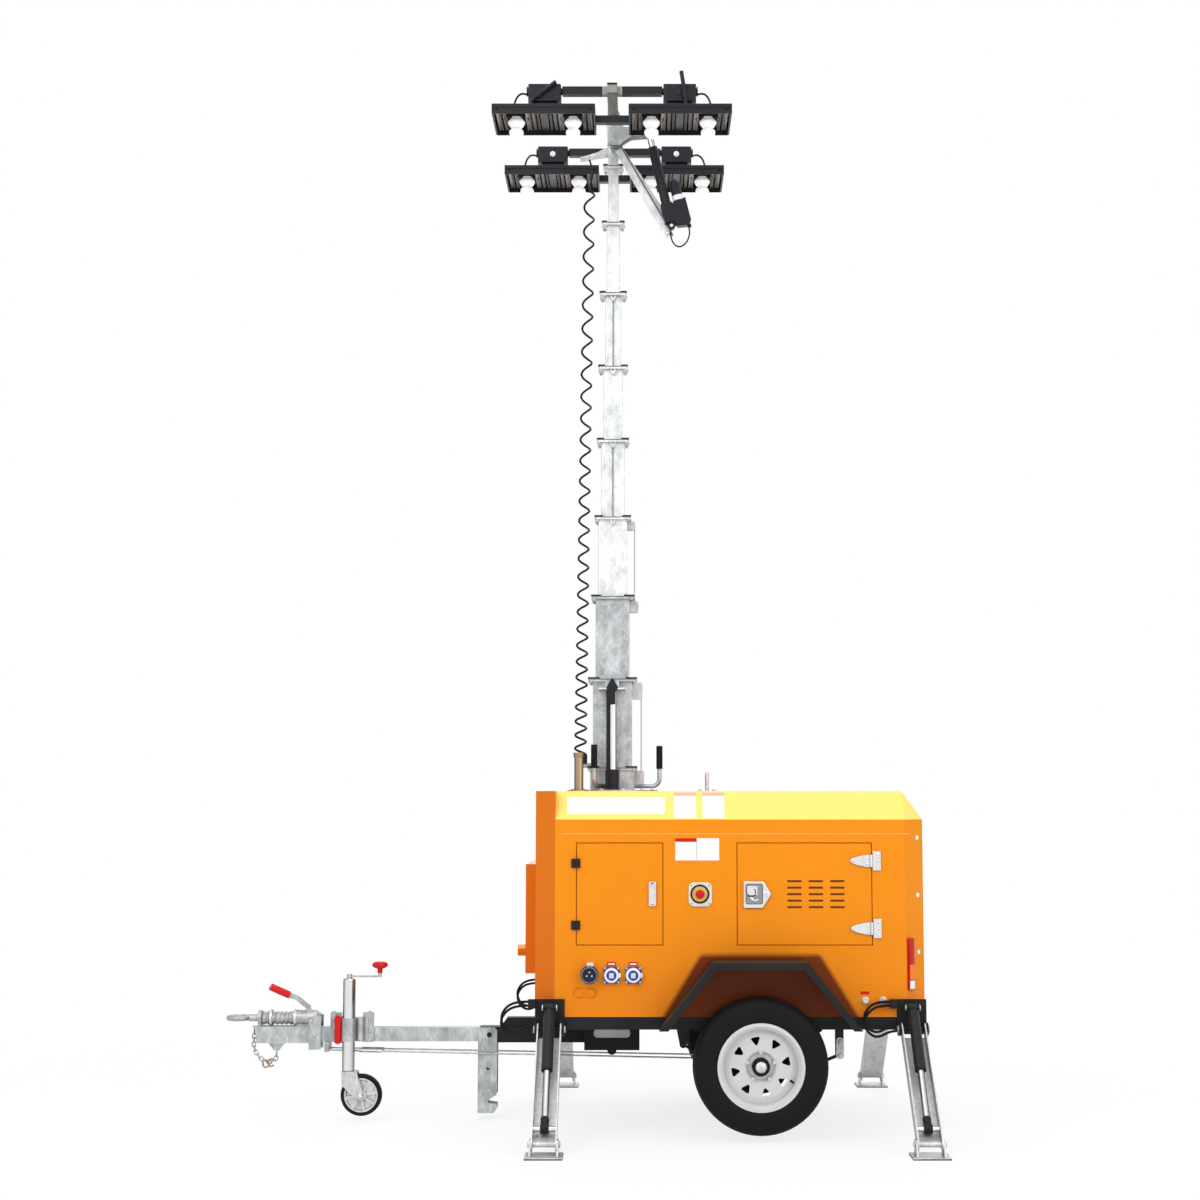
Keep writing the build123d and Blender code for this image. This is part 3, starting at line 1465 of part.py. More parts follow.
with BuildPart() as act_rod:
    with BuildSketch(act_view.offset(tube_end - 290)):
        Circle(16)
    extrude(amount=act_length - tube_end + 290)
    with BuildSketch(Plane.XZ.offset(-actuator_y)):
        with Locations(lever_pin):
            Circle(18)
    extrude(amount=10, both=True)
    with BuildSketch(Plane.XZ.offset(-actuator_y)):
        with Locations(lever_pin):
            Circle(8)
    extrude(amount=rod_fork_half - seat_gap, both=True)
save(act_rod.part, "tilt_rod")

# Coiled lamp cable beside the mast, and the lead from its top to the cable arm
coil_radius = 30.0
coil_low = (50.0, -60.0, socket_bottom + socket_height + seat_gap + 0.5)
coil_high = (88.0, -60.0, 4639.0)
coil_axis = (coil_high[0] - coil_low[0], coil_high[1] - coil_low[1], coil_high[2] - coil_low[2])
with BuildPart() as coil:
    with BuildSketch(Plane(origin=coil_low, x_dir=(0, 1, 0), z_dir=coil_axis)):
        Circle(coil_radius)
    extrude(amount=math.hypot(coil_axis[0], coil_axis[2]))
save(coil.part, "coil_cable")

# Brake rods from the bracket under the drawbar to the axle, each with its turnbuckle
rod_start = (rod_front + seat_gap, -rod_front_y, rod_front_z)
rod_end = (rod_rear - seat_gap, -rod_rear_y, rod_rear_z)
rod_run = [end - start for start, end in zip(rod_start, rod_end)]
rod_length = math.hypot(*rod_run)
rod_view = Plane(origin=rod_start, x_dir=(0, 1, 0), z_dir=rod_run)
with BuildPart() as brake_rods:
    with BuildSketch(rod_view):
        Circle(brake_rod_radius)
    extrude(amount=rod_length)
    with BuildSketch(rod_view.offset(150)):
        RegularPolygon(radius=8, side_count=6)
    extrude(amount=110)
    mirror(about=Plane.XZ)
save(brake_rods.part, "brake_rods")


# A tube along straight runs joined by arcs, each arc as wide as its shorter run allows
def cord_tube(points, radius):
    with BuildPart() as tube:
        with BuildLine() as path:
            start = points[0]
            for before, corner, after in zip(points, points[1:], points[2:]):
                back = Vector(*before) - Vector(*corner)
                ahead = Vector(*after) - Vector(*corner)
                cut = 0.45 * min(back.length, ahead.length)
                half_turn = (math.pi - math.radians(back.get_angle(ahead))) / 2
                bend = cut / math.tan(half_turn)
                inward = (back.normalized() + ahead.normalized()).normalized()
                first = Vector(*corner) + back.normalized() * cut
                last = Vector(*corner) + ahead.normalized() * cut
                middle = Vector(*corner) + inward * (bend / math.cos(half_turn) - bend)
                Line(start, first)
                ThreePointArc(first, middle, last)
                start = last
            Line(start, points[-1])
        with BuildSketch(Plane(origin=path.line @ 0, z_dir=path.line % 0)):
            Circle(radius)
        sweep(path=path.line)
    return tube.part


# Hydraulic hoses: two loops beside each outrigger, from its block back to the bracket's ear
hose_face = leg_beam_width / 2 + ear_thickness + hose_block
ear_face = leg_beam_width / 2 + ear_thickness
with BuildPart() as hoses:
    for x in leg_columns:
        for out, start_z, end_z in ((0, hose_block_z + 10, pivot_z + 14), (16, hose_block_z - 8, pivot_z - 6)):
            y = -leg_beam_reach - 22
            loop = [
                (x - hose_face - seat_gap, y, start_z),
                (x - hose_face - 50, y, start_z),
                (x - hose_face - 100, y - 5 - out, start_z - 20),
                (x - hose_face - 128, y - 10 - out, start_z - 68),
                (x - hose_face - 110, y - 12 - out, start_z - 122),
                (x - hose_face - 62, y - 14 - out, end_z - 34),
                (x - ear_face - 40, -pivot_y + 12 - out, end_z),
                (x - ear_face - seat_gap, -pivot_y + 12 - out, end_z),
            ]
            add(cord_tube(loop, hose_radius))
    mirror(about=Plane.XZ)
save(hoses.part, "hoses")


# Safety chain: links on a hanging line from the channel's nose to the lug below it
def chain_link(centre, along, across):
    bend = link_width / 2 - link_wire
    reach = (link_length - link_width) / 2
    with BuildPart() as link:
        with BuildLine(Plane(origin=centre, x_dir=along, z_dir=across)) as ring:
            Line((0, bend), (reach, bend))
            ThreePointArc((reach, bend), (reach + bend, 0), (reach, -bend))
            Line((reach, -bend), (-reach, -bend))
            ThreePointArc((-reach, -bend), (-reach - bend, 0), (-reach, bend))
            Line((-reach, bend), (0, bend))
        with BuildSketch(Plane(origin=ring.line @ 0, z_dir=ring.line % 0)):
            Circle(link_wire)
        sweep(path=ring.line)
    return link.part


link_length = 34.0
link_width = 23.0
link_wire = 3.0
link_pitch = link_length - 4 * link_wire - 0.7
link_drop = link_length / 2 + seat_gap
chain_start = (coupler_front - 15, coupler_bottom + coupler_height - 12 - link_drop)
chain_end = (coupler_front + 96, coupler_bottom - 40 - link_drop)
chain_low = coupler_bottom - 92
chain_mid = (chain_start[0] + chain_end[0]) / 2
drape = Spline(
    (chain_start[0], 0, chain_start[1]),
    (chain_start[0], 0, coupler_bottom - 20),
    (chain_mid + 4, 0, chain_low),
    (chain_end[0], 0, chain_end[1]),
    tangents=((0, 0, -1), (0, 0, 1)),
)
link_count = math.ceil(drape.length / link_pitch)
link_length = drape.length / link_count + 4 * link_wire + 2 * seat_gap
with BuildPart() as chain:
    for index in range(link_count + 1):
        spot = drape @ (index / link_count)
        along = drape % (index / link_count)
        turned = (0, 1, 0) if index % 2 else Vector(along).cross(Vector(0, 1, 0))
        add(chain_link(spot, along, turned))
save(chain.part, "safety_chain")
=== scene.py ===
import math

import bmesh
import bpy
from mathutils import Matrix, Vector


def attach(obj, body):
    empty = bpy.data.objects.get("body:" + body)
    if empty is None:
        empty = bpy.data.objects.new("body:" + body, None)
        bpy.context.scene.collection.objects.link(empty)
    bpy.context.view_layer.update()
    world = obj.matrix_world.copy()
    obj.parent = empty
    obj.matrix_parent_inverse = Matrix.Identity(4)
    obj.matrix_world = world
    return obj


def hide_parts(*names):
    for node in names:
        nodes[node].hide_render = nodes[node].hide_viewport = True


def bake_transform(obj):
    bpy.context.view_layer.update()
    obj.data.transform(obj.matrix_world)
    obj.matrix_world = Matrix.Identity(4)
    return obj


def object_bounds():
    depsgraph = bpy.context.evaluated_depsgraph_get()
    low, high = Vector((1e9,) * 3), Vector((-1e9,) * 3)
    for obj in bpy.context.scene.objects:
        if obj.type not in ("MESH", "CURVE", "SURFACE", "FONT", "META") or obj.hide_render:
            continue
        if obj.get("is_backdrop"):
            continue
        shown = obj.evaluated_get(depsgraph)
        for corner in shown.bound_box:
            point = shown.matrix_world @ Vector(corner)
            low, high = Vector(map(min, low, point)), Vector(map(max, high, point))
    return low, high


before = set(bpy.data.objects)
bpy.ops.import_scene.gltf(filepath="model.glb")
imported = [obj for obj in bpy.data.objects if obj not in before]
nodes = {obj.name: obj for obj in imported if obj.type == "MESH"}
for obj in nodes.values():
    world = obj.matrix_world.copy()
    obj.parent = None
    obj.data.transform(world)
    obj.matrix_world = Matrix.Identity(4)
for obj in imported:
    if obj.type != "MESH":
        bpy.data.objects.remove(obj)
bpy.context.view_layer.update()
scene = bpy.context.scene
print("frame loaded:", len(nodes), "nodes")

# Camera: where the photographer stood, looking slightly up
camera = {
    "place": (0.345, -9.908, 1.516),
    "pitch": 5.92,
    "lens": 59.52,
    "shiftX": -0.0333,
}
cameraData = bpy.data.cameras.new("mainCamera")
cameraData.lens = camera["lens"]
cameraData.sensor_width = 36
cameraData.shift_x = camera["shiftX"]
cameraObject = bpy.data.objects.new("mainCamera", cameraData)
cameraObject.location = camera["place"]
cameraObject.rotation_euler = (math.radians(90 + camera["pitch"]), 0, 0)
scene.collection.objects.link(cameraObject)
scene.camera = cameraObject
scene.view_settings.view_transform = "Standard"


# Shader maths: a wrapped socket that can be used in plain expressions
class Value:
    def __init__(self, tree, socket):
        self.tree = tree
        self.socket = socket

    def __add__(self, other):
        return mathNode(self.tree, "ADD", self, other)

    def __sub__(self, other):
        return mathNode(self.tree, "SUBTRACT", self, other)

    def __rsub__(self, other):
        return mathNode(self.tree, "SUBTRACT", other, self)

    def __mul__(self, other):
        return mathNode(self.tree, "MULTIPLY", self, other)

    def __abs__(self):
        return mathNode(self.tree, "ABSOLUTE", self)

    def clamp(self):
        held = self + 0.0
        held.socket.node.use_clamp = True
        return held


def plug(spot, item):
    # A socket takes a link, a colour or a plain value
    if isinstance(item, Value):
        item.tree.links.new(item.socket, spot)
    elif isinstance(item, tuple) and len(item) == 3 and spot.type == "RGBA":
        spot.default_value = (*item, 1)
    else:
        spot.default_value = item


def mathNode(tree, operation, *items):
    node = tree.nodes.new("ShaderNodeMath")
    node.operation = operation
    for spot, item in zip(node.inputs, items):
        plug(spot, item)
    return Value(tree, node.outputs[0])


class Finish:  # a material with its shader, and one way to add any node to it
    def __init__(self, name):
        self.material = bpy.data.materials.new(name)
        self.material.use_nodes = True
        self.tree = self.material.node_tree
        self.shader = self.tree.nodes["Principled BSDF"]

    def node(self, kind, settings=None, out=0, **sockets):
        # Sockets go by name, or by number as i0, i1 and so on
        made = self.tree.nodes.new("ShaderNode" + kind)
        for key, item in (settings or {}).items():
            setattr(made, key, item)
        for key, item in sockets.items():
            numbered = key[0] == "i" and key[1:].isdigit()
            plug(made.inputs[int(key[1:]) if numbered else key], item)
        return Value(self.tree, made.outputs[out])

    def blend(self, mask, first, second):
        return self.node("Mix", {"data_type": "RGBA"}, out=2, i0=mask, i6=first, i7=second)

    def set(self, socket, item):
        plug(self.shader.inputs[socket], item)

    def place(self):
        return self.node("TexCoord", out=3)

    def measure(self, axis):
        return self.node("SeparateXYZ", out=axis, Vector=self.place())

    def noise(self, scale, detail=3.0, roughness=0.5, stretch=None):
        where = self.place()
        if stretch:
            where = self.node("Mapping", Vector=where, Scale=stretch)
        return self.node("TexNoise", Vector=where, Scale=scale, Detail=detail, Roughness=roughness)

    def bump(self, height, strength, distance=0.001):
        self.set("Normal", self.node("Bump", Height=height, Strength=strength, Distance=distance))


def scaled(colour, k):
    return tuple(c * k for c in colour)


# Painted shade on the canopy: how far up the low walls are darkened, and where the shadow under the fender
# is painted
canopyPaintedShade = {
    "lowTop": 1.05,
    "lowTint": (0.86, 0.66, 0.6),
    "archX": 0.905,
    "archHalf": 0.27,
    "archFoot": 0.86,
    "archSpread": 0.62,
    "archTop": 0.84,
    "archTint": (0.17, 0.03, 0.003),
    "edge": 40,
}


def paintCanopyLightAndShade(made, shade, colour, glare):
    # Painted light and shade: sloping panels get a painted pale glare of the sky, low walls get painted
    # shade, and the wheel arch gets a painted shadow under the fender
    facing = made.node("SeparateXYZ", out=2, Vector=made.node("TexCoord", out=1))
    slopeGlareMask = ((facing - 0.3) * 12).clamp() * (1 - ((facing - 0.9) * 12).clamp())
    shade = made.blend(slopeGlareMask, shade, glare)
    height = made.measure(2)
    low = (canopyPaintedShade["lowTop"] - height).clamp()
    lowShadedColour = tuple(c * k for c, k in zip(colour, canopyPaintedShade["lowTint"]))
    shade = made.blend(low * 0.75, shade, lowShadedColour)
    half = (canopyPaintedShade["archFoot"] - height) * canopyPaintedShade["archSpread"] + canopyPaintedShade["archHalf"]
    inside = (half - abs(made.measure(0) - canopyPaintedShade["archX"])) * canopyPaintedShade["edge"]
    under = (canopyPaintedShade["archTop"] - height) * canopyPaintedShade["edge"]
    return made.blend(inside.clamp() * under.clamp(), shade, canopyPaintedShade["archTint"])


def paint(name, colour, roughness=0.32, coat=0.3, dust=0.06, grain=0.02, shine=0.25, glare=None):
    made = Finish(name)
    cloud = made.noise(3.0, 5.0)
    fine = made.noise(420.0, 2.0)
    lighter = tuple(min(1.0, c * (1 + dust) + dust * 0.05) for c in colour)
    shade = made.blend(cloud, scaled(colour, 0.9), lighter)
    if glare:
        shade = paintCanopyLightAndShade(made, shade, colour, glare)
    made.set("Base Color", shade)
    made.set("Specular IOR Level", shine)
    made.set("Roughness", cloud * 0.14 + (roughness - 0.07))
    made.set("Coat Weight", coat)
    made.set("Coat Roughness", 0.12)
    made.bump(fine, grain)
    return made.material


def zincCoat(name, dark, light, metallic=0.75, roughness=0.38, cell=26.0):
    made = Finish(name)
    where = made.node("Mapping", Vector=made.place(), Scale=(1.0, 1.0, 0.55))
    warp = made.noise(9.0, 4.0)
    spangle = made.node("TexVoronoi", Vector=where, Scale=cell)
    small = made.node("TexVoronoi", {"feature": "SMOOTH_F1"}, Vector=where, Scale=cell * 3.7)
    streak = made.noise(5.0, 6.0, 0.62, stretch=(2.2, 2.2, 0.7))
    mask = (spangle * 0.35 + warp * 0.55 + small * 0.25 + streak * 0.5 - 0.38) * 1.5 - 0.22
    scuff = made.node("TexNoise", Vector=where, Scale=7.0, Detail=2.0, Distortion=2.4)
    mask = (mask + (1 - (abs(scuff - 0.5) * 36).clamp()) * 0.3).clamp()
    # Painted shade and reflection: faces seen edge-on are darkened towards half the dark tone
    paintedEdgeShade = made.node("LayerWeight", out=1, Blend=0.4)
    coat = made.blend(mask, dark, light)
    made.set("Base Color", made.blend((paintedEdgeShade * 0.7).clamp(), coat, scaled(dark, 0.5)))
    made.set("Metallic", metallic)
    made.set("Roughness", mask * 0.2 + (roughness - 0.05))
    made.bump(streak, 0.12, 0.0006)
    return made.material


def plastic(name, colour, roughness=0.45, grain=0.08, scale=700.0, shine=0.3):
    made = Finish(name)
    cloud = made.noise(11.0, 4.0)
    fine = made.noise(scale, 2.0)
    lighter = tuple(min(1, c * 1.12) for c in colour)
    made.set("Base Color", made.blend(cloud, scaled(colour, 0.86), lighter))
    made.set("Roughness", cloud * 0.16 + (roughness - 0.08))
    made.set("Specular IOR Level", shine)
    made.bump(fine, grain)
    return made.material


def polished(name, colour, roughness=0.12):
    made = Finish(name)
    scratch = made.noise(60.0, 4.0, 0.6, stretch=(1.0, 1.0, 0.08))
    # Painted reflection: faces seen edge-on are darkened strongly, standing in for dark reflections
    paintedEdgeShade = made.node("LayerWeight", out=1, Blend=0.5)
    edges = ((paintedEdgeShade - 0.12) * 2.2).clamp()
    shade = made.blend(scratch, scaled(colour, 0.8), colour)
    made.set("Base Color", made.blend(edges, shade, scaled(colour, 0.16)))
    made.set("Metallic", 1.0)
    made.set("Roughness", scratch * 0.12 + roughness)
    return made.material


def clearGlass(name):
    made = Finish(name)
    ripple = made.noise(90.0, 2.0)
    made.set("Base Color", (0.96, 0.98, 1.0))
    made.set("Transmission Weight", 0.9)
    made.set("IOR", 1.45)
    made.set("Roughness", ripple * 0.05 + 0.02)
    made.set("Alpha", 0.75)
    made.bump(ripple, 0.08)
    return made.material


def lampFrameCoat(name):
    # Worn bars, with the black post on the mast's line
    made = Finish(name)
    post = ((0.05 - abs(made.measure(0) - 0.209)) * 400).clamp() * ((5.03 - made.measure(2)) * 400).clamp()
    worn = made.noise(24.0, 4.0, stretch=(1.0, 1.0, 0.3))
    bars = made.blend(worn, (0.1, 0.095, 0.085), (0.42, 0.41, 0.39))
    made.set("Base Color", made.blend(post, (0.014, 0.015, 0.02), bars))
    made.set("Metallic", post * 0.5)
    made.set("Roughness", worn * 0.2 + 0.36)
    made.set("Specular IOR Level", 0.2)
    return made.material


canopyPaint = {"coat": 0.05, "dust": 0.01, "shine": 0.1}
finishes = {
    # Painted light and shade: both canopy finishes carry the painted glare and shade, and the front panel's
    # finish is a darker, shaded copy of the canopy orange
    "orange": paint("orangeEnamel", (0.88, 0.275, 0.008), 0.34, glare=(1.0, 0.74, 0.19), **canopyPaint),
    "orangeFront": paint("orangeFront", (0.76, 0.18, 0.006), 0.36, glare=(1.0, 0.6, 0.12), **canopyPaint),
    "black": paint("blackFrame", (0.009, 0.009, 0.01), 0.45, 0.0, 0.3, shine=0.12),
    "white": paint("whiteEnamel", (0.64, 0.65, 0.66), 0.35, 0.1, 0.02),
    "zinc": zincCoat("galvanised", (0.26, 0.28, 0.285), (0.66, 0.69, 0.7)),
    "zincBright": zincCoat("galvanisedBright", (0.42, 0.43, 0.44), (0.86, 0.86, 0.86), 0.55, 0.42, 40.0),
    "zincPale": zincCoat("galvanisedPale", (0.5, 0.52, 0.53), (0.93, 0.94, 0.95), 0.5, 0.42, 30.0),
    # The dark galvanised finish also carries painted shade on the collar edges and the arm's flange
    "zincDark": zincCoat("galvanisedDark", (0.06, 0.06, 0.055), (0.26, 0.25, 0.23), 0.6, 0.45, 60.0),
    "zincCast": zincCoat("castZinc", (0.26, 0.27, 0.28), (0.62, 0.63, 0.63), 0.7, 0.45, 60.0),
    "chrome": polished("chromedSteel", (0.86, 0.87, 0.88)),
    "brass": polished("heatedSteel", (0.44, 0.32, 0.2), 0.3),
    "dish": polished("latchDish", (0.34, 0.35, 0.36), 0.25),
    "glass": clearGlass("bulbGlass"),
    "lampFrame": lampFrameCoat("lampFrame"),
    "blackTray": plastic("blackTray", (0.014, 0.015, 0.02), 0.45, 0.12, 500.0, shine=0.2),
    "rubber": plastic("blackRubber", (0.009, 0.009, 0.01), 0.62, 0.2, 300.0, shine=0.12),
    "tyre": plastic("tyreRubber", (0.009, 0.009, 0.009), 0.66, 0.25, 180.0, shine=0.1),
    "cable": plastic("cableSheath", (0.008, 0.008, 0.01), 0.36, 0.05, shine=0.15),
    "engine": plastic("engineGrey", (0.09, 0.1, 0.105), 0.55, 0.2, 120.0),
    "reflector": plastic("reflectorStrip", (0.17, 0.15, 0.13), 0.4, 0.1, 200.0),
    "bulb": plastic("bulbFrost", (0.93, 0.94, 0.95), 0.12, 0.02),
    "red": plastic("redPlastic", (0.6, 0.014, 0.012), 0.35, 0.05, shine=0.15),
    "blue": plastic("bluePlastic", (0.02, 0.05, 0.36), 0.35, 0.04),
    "darkBlue": plastic("darkBluePlastic", (0.012, 0.025, 0.07), 0.4, 0.05),
    "whitePlastic": plastic("whitePlastic", (0.84, 0.85, 0.86), 0.4, 0.03),
    "grey": plastic("greyPlastic", (0.42, 0.44, 0.45), 0.5, 0.05),
    "cream": plastic("creamPlastic", (0.72, 0.7, 0.64), 0.4, 0.03),
    "yellow": plastic("yellowPlastic", (0.72, 0.5, 0.14), 0.4, 0.03),
    "label": plastic("blankLabel", (0.88, 0.88, 0.89), 0.45, 0.02),
    "paleRed": plastic("paleRedLabel", (0.85, 0.42, 0.4), 0.45, 0.02),
    "reflectorPale": plastic("socketWindow", (0.62, 0.66, 0.6), 0.25, 0.02),
    "slotShade": plastic("slotShade", (0.17, 0.035, 0.004), 0.5, 0.05),
    "seamPale": plastic("seamPale", (0.9, 0.42, 0.14), 0.4, 0.02),
    "redLens": plastic("redLens", (0.5, 0.012, 0.01), 0.15, 0.02),
    "orangeLens": plastic("orangeLens", (0.85, 0.2, 0.01), 0.15, 0.02),
}
bulbShader = finishes["bulb"].node_tree.nodes["Principled BSDF"]
bulbShader.inputs["Emission Color"].default_value = (1, 1, 1, 1)
bulbShader.inputs["Emission Strength"].default_value = 0.3
print("finishes made:", len(finishes))

# Finishes of the CAD nodes: the first row that fits a node's name counts
nodeFinishes = (
    (("canopy_front",), "orangeFront"),
    (("canopy", "door"), "orange"),
    (("mast_base", "mast_1", "mast_2"), "zinc"),
    (("mast_",), "zincPale"),
    (("chassis_frame", "axle", "fenders", "hoses"), "black"),
    (("leg_", "jockey_fork"), "zincBright"),
    (("lamp_frame",), "lampFrame"),
    (("ram_barrel", "tilt_actuator", "lamp_trays"), "blackTray"),
    (("ram_rod", "tilt_rod"), "chrome"),
    (("tyre", "jockey_wheel"), "rubber"),
    (("rim",), "white"),
    (("coupling",), "zincCast"),
    (("lamp_bulbs",), "glass"),
    (("coil_cable",), "cable"),
    (("tail_lamps",), "redLens"),
    (("exhaust_stack",), "brass"),
    (("engine_block",), "engine"),
    (("side_fittings",), "grey"),
)
for name in nodes:
    key = next((key for starts, key in nodeFinishes if name.startswith(starts)), "zinc")
    mesh = nodes[name].data
    mesh.materials.clear()
    mesh.materials.append(finishes[key])
print("CAD nodes dressed")

# Directions, sides and places that many pieces share, in millimetres
up, down = (0, 0, 1), (0, 0, -1)
outward, inward = (0, -1, 0), (0, 1, 0)
sides = ((-1, "near"), (1, "far"))
fourCorners = ((-1, -1), (-1, 1), (1, -1), (1, 1))
mastBodies = ["mast_base"] + [f"mast_{k}" for k in range(1, 9)]
wall = 570
legPlaces = (("front", -72), ("rear", 1603))
wheel = {"x": 895, "z": 335}


# Mesh helpers: every shape is gathered in one bmesh, then turned into a piece
def addPolygon(bm, points, depth, towards):
    # A flat outline of 3-D points, thickened along a direction
    low = [bm.verts.new(Vector(p)) for p in points]
    high = [bm.verts.new(Vector(p) + Vector(towards) * depth) for p in points]
    bm.faces.new(low[::-1])
    bm.faces.new(high)
    for k in range(len(points)):
        n = (k + 1) % len(points)
        bm.faces.new((low[k], low[n], high[n], high[k]))


def addBox(bm, low, high):
    (x0, y0, z0), (x1, y1, z1) = low, high
    addPolygon(bm, [(x0, y0, z0), (x1, y0, z0), (x1, y1, z0), (x0, y1, z0)], z1 - z0, up)


def sideBasis(direction):
    d = Vector(direction).normalized()
    helper = Vector(up) if abs(d.z) < 0.9 else Vector((1, 0, 0))
    u = d.cross(helper).normalized()
    return d, u, d.cross(u)


def addLathe(bm, origin, direction, profile, steps=32, start=0.0, notch=None):
    # Rings of (distance along, radius) turned about a line
    d, u, v = sideBasis(direction)
    rings = []
    for level, (along, radius) in enumerate(profile):
        centre = Vector(origin) + d * along
        if radius < 1e-6:
            rings.append([bm.verts.new(centre)])
            continue
        ring = []
        for k in range(steps):
            a = start + 2 * math.pi * k / steps
            reach = radius + (notch(level, k) if notch else 0)
            ring.append(bm.verts.new(centre + (u * math.cos(a) + v * math.sin(a)) * reach))
        rings.append(ring)
    for first, second in zip(rings, rings[1:]):
        for k in range(steps):
            n = (k + 1) % steps
            if len(first) == 1 and len(second) == 1:
                continue
            if len(first) == 1:
                bm.faces.new((first[0], second[n], second[k]))
            elif len(second) == 1:
                bm.faces.new((first[k], first[n], second[0]))
            else:
                bm.faces.new((first[k], first[n], second[n], second[k]))


def addTurned(bm, origin, direction, profile, steps=32):
    # A lathe shape with a flat face at both ends
    addLathe(bm, origin, direction, [(profile[0][0], 0), *profile, (profile[-1][0], 0)], steps)


def addRod(bm, start, end, radius, steps=16):
    line = Vector(end) - Vector(start)
    addTurned(bm, start, line, [(0, radius), (line.length, radius)], steps)


def addTube(bm, points, radius, steps=8, closed=False):
    # A round tube along points, its rings turned without twist
    points = [Vector(p) for p in points]
    count = len(points)
    rings = []
    side = None
    for k, p in enumerate(points):
        before = points[k - 1] if k or closed else points[0]
        after = points[(k + 1) % count] if k + 1 < count or closed else points[-1]
        d = (after - before).normalized()
        if side is None:
            side = sideBasis(d)[1]
        side = (side - d * side.dot(d)).normalized()
        other = d.cross(side)
        ring = []
        for a in turns(steps):
            ring.append(bm.verts.new(p + (side * math.cos(a) + other * math.sin(a)) * radius))
        rings.append(ring)
    pairs = list(zip(rings, rings[1:])) + ([(rings[-1], rings[0])] if closed else [])
    for first, second in pairs:
        for s in range(steps):
            n = (s + 1) % steps
            bm.faces.new((first[s], first[n], second[n], second[s]))
    if not closed:
        bm.faces.new(rings[0][::-1])
        bm.faces.new(rings[-1])


def turns(count, start=0.0):
    # Angles spread evenly round a circle
    return [start + 2 * math.pi * k / count for k in range(count)]


def roundedBox(middle, width, height, radius, steps=5):
    x, z = middle
    spots = []
    for corner, (sx, sz) in enumerate(((1, 1), (-1, 1), (-1, -1), (1, -1))):
        cornerX = x + sx * (width / 2 - radius)
        cornerZ = z + sz * (height / 2 - radius)
        for k in range(steps + 1):
            a = math.pi / 2 * (corner + k / steps)
            spots.append((cornerX + radius * math.cos(a), cornerZ + radius * math.sin(a)))
    return spots


def boxOutline(x0, x1, z0, z1):
    return [(x0, z0), (x1, z0), (x1, z1), (x0, z1)]


def addPlate(bm, outline, near, far, side=-1):
    # An outline of (x, z) on the machine's side, from one distance off the middle to another
    addPolygon(bm, [(x, side * near, z) for x, z in outline], far - near, (0, side, 0))


def addScrews(bm, spots, near, side=-1, radius=4.5, height=2.5):
    head = [(0, radius), (height * 0.6, radius * 0.95), (height, radius * 0.5)]
    for x, z in spots:
        addTurned(bm, (x, side * near, z), (0, side, 0), head, 10)


def buildPiece(
    name, finish, body, *shapes, sharp=35, bevel=None, replaces=(), slot=None, unit=0.001
):
    # Each shape is a function from above with its arguments, and unit turns its measures into metres
    bm = bmesh.new()
    for add, *details in shapes:
        add(bm, *details)
    bmesh.ops.recalc_face_normals(bm, faces=bm.faces)
    bmesh.ops.scale(bm, vec=(unit, unit, unit), verts=bm.verts)
    for edge in bm.edges:
        edge.smooth = edge.calc_face_angle(4.0) < math.radians(sharp)
    for face in bm.faces:
        face.smooth = True
    mesh = bpy.data.meshes.new(name)
    bm.to_mesh(mesh)
    bm.free()
    mesh.materials.append(finishes[finish])
    piece = bpy.data.objects.new(name, mesh)
    scene.collection.objects.link(piece)
    if bevel:
        edges = piece.modifiers.new("edges", "BEVEL")
        edges.width = bevel * unit
        edges.segments = 2
        edges.limit_method = "ANGLE"
        edges.angle_limit = math.radians(40)
    if body:
        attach(piece, body)
    if replaces:
        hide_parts(*replaces)
    return piece


def curvePoints(name, controls, order=3):
    # The points that a NURBS spline with these control points runs through
    data = bpy.data.curves.new(name, "CURVE")
    data.dimensions = "3D"
    spline = data.splines.new("NURBS")
    spline.points.add(len(controls) - 1)
    for spot, p in zip(spline.points, controls):
        spot.co = (*p, 1)
    spline.order_u = order
    spline.use_endpoint_u = True
    spline.resolution_u = 3
    probe = bpy.data.objects.new(name, data)
    mesh = bpy.data.meshes.new_from_object(probe)
    points = [v.co.copy() for v in mesh.vertices]
    bpy.data.meshes.remove(mesh)
    bpy.data.objects.remove(probe)
    bpy.data.curves.remove(data)
    return points


# The coiled lamp cable, in one stretch for each share of its height
coil = {
    "low": (0.050, -0.060, 1.7668),
    "high": (0.088, -0.060, 4.639),
    "line": (0.06, -0.06),
    "radius": 0.0335,
    "wire": 0.0057,
    "topPitch": 0.128,
    "lowPitch": 0.062,
    "share": (0.383, 0.357, 0.346, 0.339, 0.321, 0.326, 0.314, 0.230),
    "pointsPerTurn": 14,
}


def coilPoint(t, turn):
    middle = Vector(coil["low"]).lerp(Vector(coil["high"]), t)
    reach = coil["radius"] - coil["wire"] - 0.002 * min(1.0, t * 3)
    return middle + Vector((math.cos(turn), math.sin(turn), 0)) * reach


